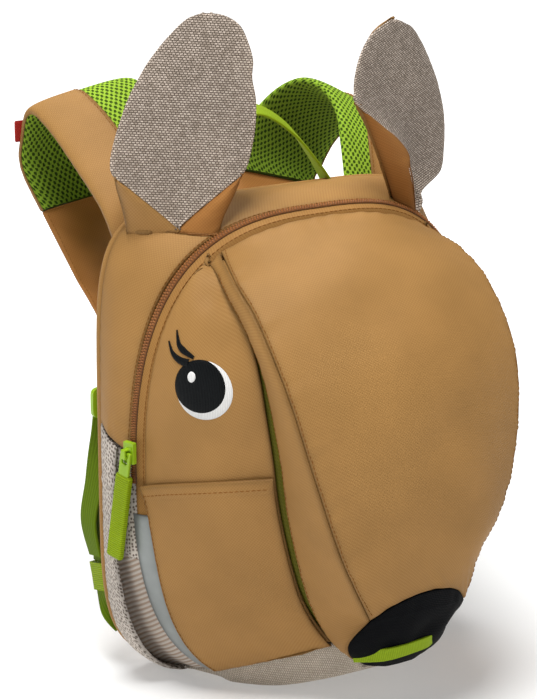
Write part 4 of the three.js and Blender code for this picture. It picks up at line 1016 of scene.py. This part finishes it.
for side, ear in EARS.items():
    behind, before = turned(np.array([[0, 60.0, 60.0], [0, -60.0, 60.0]]), ear)
    front_left, front_right, back_left, back_right = edges(side)
    u, v = uv_grid(130, 70, 0.8)
    puff = 2.2 * (1 - (2 * u - 1) ** 4) * np.sin(np.pi * v) ** 0.5
    front, flat = ear_sheet(front_left, front_right, EAR_TIP_ROW * v, u, ear, puff - 0.2)
    panel(f"ear_{side}_front_weave", front, BASKET, "taupe", [f"ear_face_{side}"], 1.2, flat=flat, away_from=behind,
          roll=1.1, pucker=0.25, folds=0.7, seed=41)
    rear, flat = ear_sheet(back_left, back_right, EAR_TIP_ROW * v, u, ear, -2.4 - 0.6 * puff)
    piece = panel(f"ear_{side}_back_canvas", rear, CANVAS, "caramel", [f"ear_back_{side}"], 1.4, flat=flat,
                  away_from=before, roll=2.2, pucker=0.25, folds=0.6, seed=43)
print("ears: tip at z", round(GRIDS["ear_left_front_weave"][..., 2].max(), 1), "mm")


# %% Folded corners at the ear's root
def ear_corner(inner, outer, u, v):
    """From under the front's edge at u = 0 to the back's edge at u = 1, puffed between them; v runs up the edges."""
    place = v * (len(outer) - 1)
    a, b = rows_at(inner, place), rows_at(outer, place)
    x, along, forward = (mix(a[k], b[k], mix(-0.1, 1, u)) for k in range(3))
    puff = 2.6 * np.sin(np.pi * u) ** 0.8 * np.sin(np.pi * v) ** 0.3 - 1.6 * (1 - u) ** 3 - 2.2 * v ** 8
    return x * (1 - 0.05 * v ** 8), along - 2.5 * (1 - v) ** 3, forward + puff


for side, ear in EARS.items():
    behind = turned(np.array([0, 60.0, 20.0]), ear)
    front_edges = dict(zip(("left", "right"), edges(side)))
    for hand in EAR_CORNERS[side]:
        u, v = uv_grid(70, 36)
        corner, flat = stood(*ear_corner(front_edges[hand], EAR_OUTER[side][hand], u, v), ear)
        # The inner corner takes the darker canvas: painted shade.
        cloth = CANVAS if side == hand else SHADE_PAINTED_CANVAS
        panel(f"ear_{side}_{hand}_corner_canvas", corner, cloth, "caramel", [f"ear_fold_{side}"], 1.2, flat=flat,
              away_from=behind, roll=0.8, pucker=0.3, pitch=7, folds=0.5, seed=45)
print("ear corners:", EAR_CORNERS)

# %% [markdown]
# ## Shoulder straps
# A strap is a foam pad: spacer net all round, canvas over the outer part of its upper side and round its outer edge,
# and below it a flat tail of softer, creased canvas. Its section is a rounded oval carried along the table of ribs.
# Sewing holds a strap's edges down, so the section is worked out directly: a remesh would lose the thin edges and the
# holes' map.

# %% Strap section along its ribs
# From the top of the back to the buckle: x, y and z of the outer edge, and the same for the inner one.
STRAP_ROWS = {
    "left": [(-96, 51.3, 245, -51, 51.3, 258), (-98, 64, 263, -50, 62, 282), (-101, 90, 283, -49, 80, 303),
             (-104, 115, 300, -50, 97, 318), (-106, 135, 307, -53, 115, 323), (-105, 147, 291, -57, 135, 311),
             (-104, 151, 270, -58, 146, 286), (-96, 142, 243, -55, 143, 250), (-94, 109.5, 214, -57, 115, 217),
             (-96.5, 71, 190, -69, 75, 187), (-106, 57, 166, -88, 57, 164)],
    "right": [(96, 51.3, 245, 54, 51.3, 258), (100, 64, 263, 61, 67, 282), (106, 85, 281, 68, 83, 298),
              (110, 108, 288, 70, 102, 309), (109, 128, 282, 67, 125, 310.5), (103, 144, 266, 58, 145, 298),
              (95, 148, 249, 44, 155, 275), (86, 141, 236, 36, 149, 251), (87, 110, 211, 27, 116, 217),
              (98, 74, 190, 69, 76, 187), (106, 57, 166, 88, 57, 164)],
}
PAD_END, TAIL_END, PAD_THICK = 7, 10, 7.4
OVAL_ACROSS, OVAL_LIFT = 0.6, 0.7  # powers of the section's cosine and sine


def strap_rib(side, place):
    """Outer and inner edge of a strap at a place in its table."""
    row = np.moveaxis(rows_at(STRAP_ROWS[side], np.clip(place, 0, TAIL_END)), 0, -1)
    return row[..., :3], row[..., 3:]


def strap_point(side, place, across, lift):
    """A point across a strap, lifted square to it: the cross product of its width and its run gives the direction."""
    share = across[..., None]
    rib = lambda at: mix(*strap_rib(side, at), share)
    outer, inner = strap_rib(side, place)
    square = unit(np.cross((inner - outer) * -SIDES[side], rib(place + 0.2) - rib(place - 0.2)))
    return rib(place) + square * lift[..., None]


def strap_ring(side, place, angle, pad, grow=0.0):
    """The oval section: across is half the width times |cos|^0.6, lift half the pad times |sin|^0.7, so the outer
    edge is at angle pi, the inner one at 0 and the upper side between them. grow swells it all round."""
    outer, inner = strap_rib(side, place)
    width = np.linalg.norm(inner - outer, axis=-1)
    c, s = np.cos(angle), np.sin(angle)
    across = 0.5 + (0.5 + grow / width) * np.sign(c) * np.abs(c) ** OVAL_ACROSS
    lift = -pad / 2 + (pad / 2 + grow) * np.sign(s) * np.abs(s) ** OVAL_LIFT
    return strap_point(side, place, across, lift)


def rings(first, last, rows, columns):
    """Two arrays: places from first to last, and the angles around a closed section."""
    turn = np.linspace(0, 2 * np.pi, columns, endpoint=False)
    return np.meshgrid(np.linspace(first, last, rows), turn, indexing="ij")


print("strap rows:", {name: len(rows) for name, rows in STRAP_ROWS.items()})

# %% Strap pads, covers and tails
EDGE = 26  # the column of a tail near its outer edge, on the under side
for side in SIDES:
    v, angle = rings(0, PAD_END, 180, 56)
    pad = strap_ring(side, v, angle, PAD_THICK)
    # The under side lies on the wearer and in the strap's own shade; from the second rib on, that shade is painted
    # into its net, which is darker there.
    painted_under_shade = np.clip(-np.sin(angle), 0, 1) ** 0.5 * np.clip((v - 2) / 2, 0, 1)
    piece = put_tube(f"strap_{side}_pad_net", pad, SPACER, "mesh", [f"strap_mesh_{side}"], seam=painted_under_shade)
    # The cover reaches over half of the width, and a little further towards both ends of the pad.
    v, t = np.meshgrid(np.linspace(0, PAD_END, 180), crowded(50), indexing="ij")
    past_half = 2 * mix(0.12, 0, np.sin(np.pi * np.clip(v / PAD_END, 0, 1)) ** 2)
    inner_edge = np.arccos(np.clip(past_half, 0, 1) ** (1 / OVAL_ACROSS))
    cover = strap_ring(side, v, mix(1.08 * np.pi, inner_edge, t), PAD_THICK, 0.9)
    middle = strap_point(side, np.full((1, 1), 3.5), np.full((1, 1), 0.5), np.full((1, 1), -60.0))[0, 0]
    panel(f"strap_{side}_cover_canvas", cover, CANVAS, "caramel", [f"strap_cover_{side}"], 1.0, away_from=middle,
          roll=0.8, pucker=0.2, folds=0.2, seed=51)
    stitch_along(f"strap_{side}_stitches", f"strap_{side}_cover_canvas", "U", 2.0, middle)

    # The tail starts just below the pad, thins towards the buckle, and is creased by up to 4.5 mm between its edges.
    v, angle = rings(PAD_END + 0.012, TAIL_END, 90, 44)
    down = (v - PAD_END) / (TAIL_END - PAD_END)
    tail = strap_ring(side, v, angle, mix(5.0, 3.0, down))
    middle = np.full_like(v, 0.5)
    square = strap_point(side, v, middle, middle + 0.5) - strap_point(side, v, middle, middle - 0.5)
    fade = np.sqrt(np.clip(np.sin(np.pi * down), 0, 1))
    tail = tail + square * (4.5 * fade * np.sin(angle) ** 2 * slow_folds(tail, 53, 30, 13))[..., None]
    stitches(f"strap_{side}_edge_stitches", tail[:, EDGE], -square[:, EDGE], first=0.02, last=0.9)
    # The tail's darker canvas is painted shade.
    put_tube(f"strap_{side}_tail_canvas", tail, SHADE_PAINTED_CANVAS, "caramel", [f"strap_tail_{side}"])
print("straps: pads, covers and tails")

# %% [markdown]
# ## Webbing
# Webbing is a flat band: a thin oval section is carried along a table of bends, where turn is the way that its width
# lies, seen from above. The adjuster and its loose end run from the buckle to a keeper, a short ribbed sleeve, and
# the anchor from there into the back's seam. The grab loop and the nose's loop are bands too.

# %% Bands along a path
WEB_ROWS = [(98.5, 60.9, 158, 0), (100, 62.5, 134, 30), (101.5, 63.5, 108, 72), (103, 63.5, 84, 82),
            (104.5, 62.1, 60, 90)]
LOOSE_ROWS = [(99.5, 61.5, 157, 0), (101, 62.5, 134, 30), (105.5, 65, 108, 72), (109, 67, 84, 82),
              (107, 63.4, 64, 90)]
KEEPER_ROWS = [(105, 63, 60, 90), (104.5, 61, 52, 90), (104.3, 59.2, 44.5, 90)]
ANCHOR_ROWS = [(104.5, 60, 48, 90), (104, 58.4, 41.8, 80), (102, 56.6, 36, 52), (99.5, 54.2, 30.5, 20),
               (96, 51.6, 25, 0)]
# The grab loop's last column is how far its width tips up towards the back, in degrees.
GRAB_ROWS = [(-45, 50, 256, 0), (-40, 52, 281, 8), (-27, 54, 303, 14), (-7, 55.5, 308, 16), (14, 54.5, 296, 20),
             (31, 52.5, 275, 12), (43, 50, 254, 0)]
NOSE_LOOP_ROWS = [(-29, -79, 37), (-16, -91.5, 39.3), (0, -94.5, 41.3), (14, -91, 41.8), (24, -78, 43.3)]


def oval(around, c_power, s_power):
    """Cosine and sine once round, each raised to a power with its sign kept. 1 gives a circle, less squares it."""
    a = np.linspace(0, 2 * np.pi, around, endpoint=False)
    c, s = np.cos(a), np.sin(a)
    return np.sign(c) * np.abs(c) ** c_power, np.sign(s) * np.abs(s) ** s_power


def band(line, width_way, half, thickness, around=40):
    """An oval section carried along a line: its width lies along width_way, made square to the line."""
    ahead = unit(np.gradient(line, axis=0))
    across = unit(width_way - ahead * np.sum(width_way * ahead, -1, keepdims=True))
    out = np.cross(across, ahead)
    c, s = oval(around, 0.35, 0.5)
    wide, thick = (half * c)[None, :, None], (thickness / 2 * s)[None, :, None]
    return line[:, None] + across[:, None] * wide + out[:, None] * thick


def turned_band(rows, sign, half, thickness, steps=90):
    """A band along a table of x, y, z and turn."""
    x, y, z, turn = rows_at(rows, np.linspace(0, len(rows) - 1, steps))
    way = xyz(sign * np.cos(np.radians(turn)), np.sin(np.radians(turn)), 0 * turn)
    return band(xyz(sign * x, y, z), way, half, thickness)


def webbing(name, grid, node, cloth=WEBBING):
    """A band as a piece of webbing."""
    put_tube(name, grid, cloth, "webbing", [node])


for side, sign in SIDES.items():
    webbing(f"adjuster_{side}_webbing", turned_band(WEB_ROWS, sign, 7.5, 1.8), f"strap_web_{side}")
    webbing(f"adjuster_{side}_loose_webbing", turned_band(LOOSE_ROWS, sign, 7.0, 1.8), f"strap_web_{side}")
    webbing(f"keeper_{side}_sleeve", turned_band(KEEPER_ROWS, sign, 8.2, 6.0, 60), f"web_keeper_{side}", TAB_RUBBER)
    webbing(f"anchor_{side}_webbing", turned_band(ANCHOR_ROWS, sign, 7.0, 1.8, 40), f"web_anchor_{side}")
x, y, z, tip = rows_at(GRAB_ROWS, np.linspace(0, len(GRAB_ROWS) - 1, 120))
way = xyz(0.35 * np.sin(np.radians(tip)), np.cos(np.radians(tip)), np.sin(np.radians(tip)))
webbing("grab_loop_webbing", band(xyz(x, y, z), way, 7.5, 1.9), "grab_loop", LOOP_WEBBING)
loop_line = np.moveaxis(rows_at(NOSE_LOOP_ROWS, np.linspace(0, len(NOSE_LOOP_ROWS) - 1, 70)), 0, -1)
webbing("nose_loop_webbing", band(loop_line, np.array([[0, 0.341, -0.94]]), 4.3, 1.7), "nose_loop", LOOP_WEBBING)
print("webbing: adjusters, keepers, anchors, grab loop and nose loop")

# %% [markdown]
# ## Back panel
# The back is a foam pad that lies on the wearer, so it is made as a cushion is: a slightly smaller closed shape is
# remeshed evenly, blown up as cloth, held back where it would move too far, and then sewn through in channels.

# %% Shape and cloth of the padded back
PUFF_FRAMES = 20


def back_shape(rows=40, around=120):
    """Discs from front to back: the outline shrunk by share, with the edge rounded over the pad's thickness."""
    t, degrees = np.meshgrid(np.linspace(0, 1, rows), np.linspace(0, 360, around, endpoint=False), indexing="ij")
    edge = outline(BACK_OUTLINE, degrees)
    share = np.where(t < 0.5, t * 2, 2 - t * 2)
    share = 1 - (1 - share) ** 2
    hub = np.array([0, 0, 130.0])
    at = hub + (edge - hub) * (np.maximum(share, 0.02) * 0.985)[..., None]
    at[..., 1] = np.where(t < 0.5, 45.6, 49.2 + 4 * (1 - share ** 2))
    return at


def blow_up(piece, pressure, cap_mm, hold):
    """Cloth with pressure and no gravity for some frames. A point keeps its move only up to cap_mm times its hold."""
    rest = np.zeros(len(piece.data.vertices) * 3)
    piece.data.vertices.foreach_get("co", rest)
    rest = rest.reshape(-1, 3)
    cloth = piece.modifiers.new("cloth", "CLOTH")
    cloth.settings.use_pressure = True
    cloth.settings.uniform_pressure_force = pressure
    cloth.settings.effector_weights.gravity = 0
    cloth.point_cache.frame_start, cloth.point_cache.frame_end = 1, PUFF_FRAMES
    for number in range(1, PUFF_FRAMES + 1):
        bpy.context.scene.frame_set(number)
    shown = piece.evaluated_get(bpy.context.evaluated_depsgraph_get()).data
    now = np.zeros(len(rest) * 3)
    shown.vertices.foreach_get("co", now)
    piece.modifiers.remove(cloth)
    bpy.context.scene.frame_set(1)
    move = now.reshape(-1, 3) - rest
    far = np.linalg.norm(move, axis=1, keepdims=True)
    cap = cap_mm * MM * hold(rest / MM)[:, None]
    return rest + move * np.minimum(1, cap / np.maximum(far, 1e-9))


def away_from_edge(p):
    """Nothing on the bag's side of the pad, and less and less towards its rim."""
    rim = np.maximum(np.abs(p[:, 0]) / 112, np.abs(p[:, 2] - 133) / 133)
    return np.clip((p[:, 1] - 46) / 1.5, 0, 1) * np.clip((0.98 - rim) / 0.35, 0, 1)


print("the back's shape, rows by columns:", back_shape().shape[:2])

# %% Padded back by cloth simulation
VOXEL = 0.0035  # metres
piece = put_tube("back_panel_pad", back_shape(), CANVAS, "caramel", ["back_panel"])
remesh = piece.modifiers.new("even", "REMESH")
remesh.mode, remesh.voxel_size = "VOXEL", VOXEL
even = bpy.data.meshes.new_from_object(piece.evaluated_get(bpy.context.evaluated_depsgraph_get()))
piece.modifiers.clear()
piece.data = even
points = blow_up(piece, pressure=4.0, cap_mm=4.5, hold=away_from_edge) / MM
print("back panel:", len(even.vertices), "points")

# %% Sewn channels of the back
CHANNEL_X, CHANNEL_DEEP, CHANNEL_WIDE = 26, 3.4, 3.0


def cross_channel(x):
    """Height of the channel across the back, which is highest in the middle and slopes down to both sides."""
    return 212 - 0.35 * np.abs(x)


channel = np.minimum(np.abs(np.abs(points[:, 0]) - CHANNEL_X), np.abs(points[:, 2] - cross_channel(points[:, 0])))
points[:, 1] -= CHANNEL_DEEP * bell(channel, 0, CHANNEL_WIDE) * (points[:, 1] > 47)
points = settle(points)
even.vertices.foreach_set("co", (points * MM).ravel())
outside = points[points[:, 1] > 46.5]
run = np.linspace(0, 1, 120)
up_line, across_line = mix(22, 200, run), mix(-86, 86, run)
CHANNELS = {"left": (-CHANNEL_X + 0 * run, up_line), "right": (CHANNEL_X + 0 * run, up_line),
            "across": (across_line, cross_channel(across_line))}
for part, (x, z) in CHANNELS.items():
    # A stitch lies at the depth of the nearest point of the pad, evened out over nine neighbours.
    nearest = np.argmin((x[:, None] - outside[:, 0]) ** 2 + (z[:, None] - outside[:, 2]) ** 2, axis=1)
    depth = np.convolve(np.pad(outside[nearest, 1], 4, mode="edge"), np.full(9, 1 / 9), mode="valid")
    stitches(f"back_{part}_channel_stitches", xyz(x, depth, z), np.tile([0, 1.0, 0], (len(run), 1)))
corner_of = np.zeros(len(even.loops), int)
even.loops.foreach_get("vertex_index", corner_of)
even.uv_layers.new(name="cloth").data.foreach_set("uv", (points[corner_of][:, [0, 2]] * MM).ravel())
if not even.materials:
    even.materials.append(CANVAS)
even.polygons.foreach_set("use_smooth", np.ones(len(even.polygons), bool))
even.update()
finer = piece.modifiers.new("smooth", "SUBSURF")
finer.levels = finer.render_levels = 1
print("back panel: rearmost y", round(points[:, 1].max(), 1), "mm, channels", list(CHANNELS))

# %% [markdown]
# ## Piping
# The back panel and the walls meet in a seam that is bound with a folded strip of canvas. It is a thin tube along the
# back outline, which also covers the raw edges of both sides.

# %% Bound seam around the back
PIPING_RADIUS, PIPING_INSIDE = 2.4, 2.2
degrees = np.linspace(0, 360, 241)[:-1]
seam_line = outline(BACK_OUTLINE, degrees) + (0, PIPING_RADIUS, 0) - radial(degrees) * PIPING_INSIDE
c, s = (wave[None, :, None] for wave in oval(14, 1, 1))
piping = settle(seam_line[:, None] + (radial(degrees)[:, None] * c + np.array([0, 1.0, 0]) * s) * PIPING_RADIUS)
piping = np.concatenate([piping, piping[:1]])
put_grid("back_piping_canvas", piping, CANVAS, "caramel", [], wrap=True)
print("piping, mm:", round(float(lengths(piping, 0)[-1, 0])))

# %% [markdown]
# ## Moulded pieces, pull tab and red tab
# Slider, link and buckles are hard and plain, so they keep their CAD shape: two modifiers weld the loose triangles
# and bevel the edges, which gives the soft edge that a mould leaves. The pull's tab is a ribbed rubber tongue, and
# the red tab on the left strap is a folded ribbon.

# %% Buckles, slider and link
def soften(node, width_mm):
    """Finishes a CAD node in acetal with a rounded edge."""
    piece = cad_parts[node]
    piece.data.materials.clear()
    piece.data.materials.append(ACETAL)
    weld = piece.modifiers.new("weld", "WELD")
    weld.merge_threshold = 0.02 * MM
    edge = piece.modifiers.new("soft edge", "BEVEL")
    edge.width, edge.segments, edge.limit_method, edge.angle_limit = width_mm * MM, 3, "ANGLE", math.radians(40)


SOFT_EDGES = {"zip_slider": 0.5, "zip_pull": 0.5, "ladder_lock_left": 0.8, "ladder_lock_right": 0.8}
for node, width_mm in SOFT_EDGES.items():
    soften(node, width_mm)
print("soft edges, mm:", SOFT_EDGES)

# %% Tab and red ribbon
def tongue(low, high, way, wide, thick, rows=120, around=36):
    """A tongue from high to low: a rounded oblong carried along it, drawn in at both ends."""
    t = np.linspace(0, 1, rows)
    ends = np.clip(np.minimum(t, 1 - t) * rows / 4, 0, 1) ** 0.5
    line = mix(np.asarray(high, float), np.asarray(low, float), t[:, None])
    ahead = unit(line[-1] - line[0])
    across = unit(way - ahead * (way @ ahead))
    out = np.cross(across, ahead)
    c, s = oval(around, 0.3, 0.4)
    w, h = wide / 2 * mix(0.9, 1, ends), thick / 2 * mix(0.6, 1, ends)
    return line[:, None] + across * (w[:, None] * c)[..., None] + out * (h[:, None] * s)[..., None]


# The tab lies along the longest way through its CAD solid. Its width lies along a level way, 15 degrees off -Y, made
# square to that.
WIDE = np.array([0.2588, -0.9659, 0])
tab = np.array([v.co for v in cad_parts["zip_tab"].data.vertices]) / MM
centre = (tab.min(0) + tab.max(0)) / 2
axis = unit(np.linalg.svd(tab - tab.mean(0))[2][0])
axis = axis * np.sign(axis[2])
wide_way = unit(np.cross(axis, np.cross(WIDE, axis)))
reach = np.ptp(tab @ axis) / 2
grid = tongue(centre - axis * reach, centre + axis * reach, wide_way, 10.5, 4.0)
put_tube("zip_tab_rubber", grid, TAB_RUBBER, "webbing", ["zip_tab"], "pull")

low, high = (np.array(corner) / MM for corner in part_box("strap_flag"))
middle = (low + high) / 2 + (2.4, -0.4, -1.0)
grid = tongue(middle - (0, 0, 6), middle + (0, 0, 6), np.array([1.0, 0, 0]), 7.5, 1.6, rows=40)
put_tube("strap_red_ribbon", grid, RED_RIBBON, "red", ["strap_flag"])
print("tab length, mm:", round(2 * reach, 1))

# %% [markdown]
# ## Floor and backdrop
# The floor is pale paper that sweeps back to a bright background. It glows, and the glow is painted light: more and
# more with the distance from the bag, so that it reads as white, while near the bag it glows less and throws only
# part of the light back up. The backdrop gives little light, but is white where it is seen, so that no grey band
# stands above the floor's far edge.

# %% Backdrop
BACKDROP_LIGHT, BACKDROP_SEEN = 0.2, 1.0
world = bpy.data.worlds.new("studio")
world.use_nodes = True
backdrop = world.node_tree.nodes["Background"]
backdrop.inputs["Color"].default_value = (1, 1, 1, 1)
seen = add_node(world.node_tree, "ShaderNodeLightPath")
strength = add_node(world.node_tree, "ShaderNodeMapRange",
                    {0: seen.outputs["Is Camera Ray"], 3: BACKDROP_LIGHT, 4: BACKDROP_SEEN})
world.node_tree.links.new(strength.outputs[0], backdrop.inputs["Strength"])
bpy.context.scene.world = world
print("backdrop: light", BACKDROP_LIGHT, "and seen as", BACKDROP_SEEN)

# %% Floor
FLOOR = 9.0  # half of its side in metres
floor_mesh = bpy.data.meshes.new("floor")
floor_mesh.from_pydata([(-FLOOR, -FLOOR, 0), (FLOOR, -FLOOR, 0), (FLOOR, FLOOR, 0), (-FLOOR, FLOOR, 0)], [],
                       [(0, 1, 2, 3)])
floor = bpy.data.objects.new("floor", floor_mesh)
bpy.context.scene.collection.objects.link(floor)
material, tree, shader = bare("pale paper, glowing", 0.9)
shader.inputs["Base Color"].default_value = linear("#dcdcdb")
shader.inputs["Emission Color"].default_value = (1, 1, 1, 1)
place = add_node(tree, "ShaderNodeTexCoord")
away = add_node(tree, "ShaderNodeVectorMath", {0: place.outputs["Object"]}, operation="LENGTH")
# The glow goes from 0.28 near the bag, up to 0.15 m away, to 0.85 from 1.3 m on.
glow = add_node(tree, "ShaderNodeMapRange", {0: away.outputs["Value"], 1: 0.15, 2: 1.3, 3: 0.28, 4: 0.85},
                interpolation_type="SMOOTHSTEP")
tree.links.new(glow.outputs[0], shader.inputs["Emission Strength"])
floor_mesh.materials.append(material)
print("floor, m:", 2 * FLOOR)
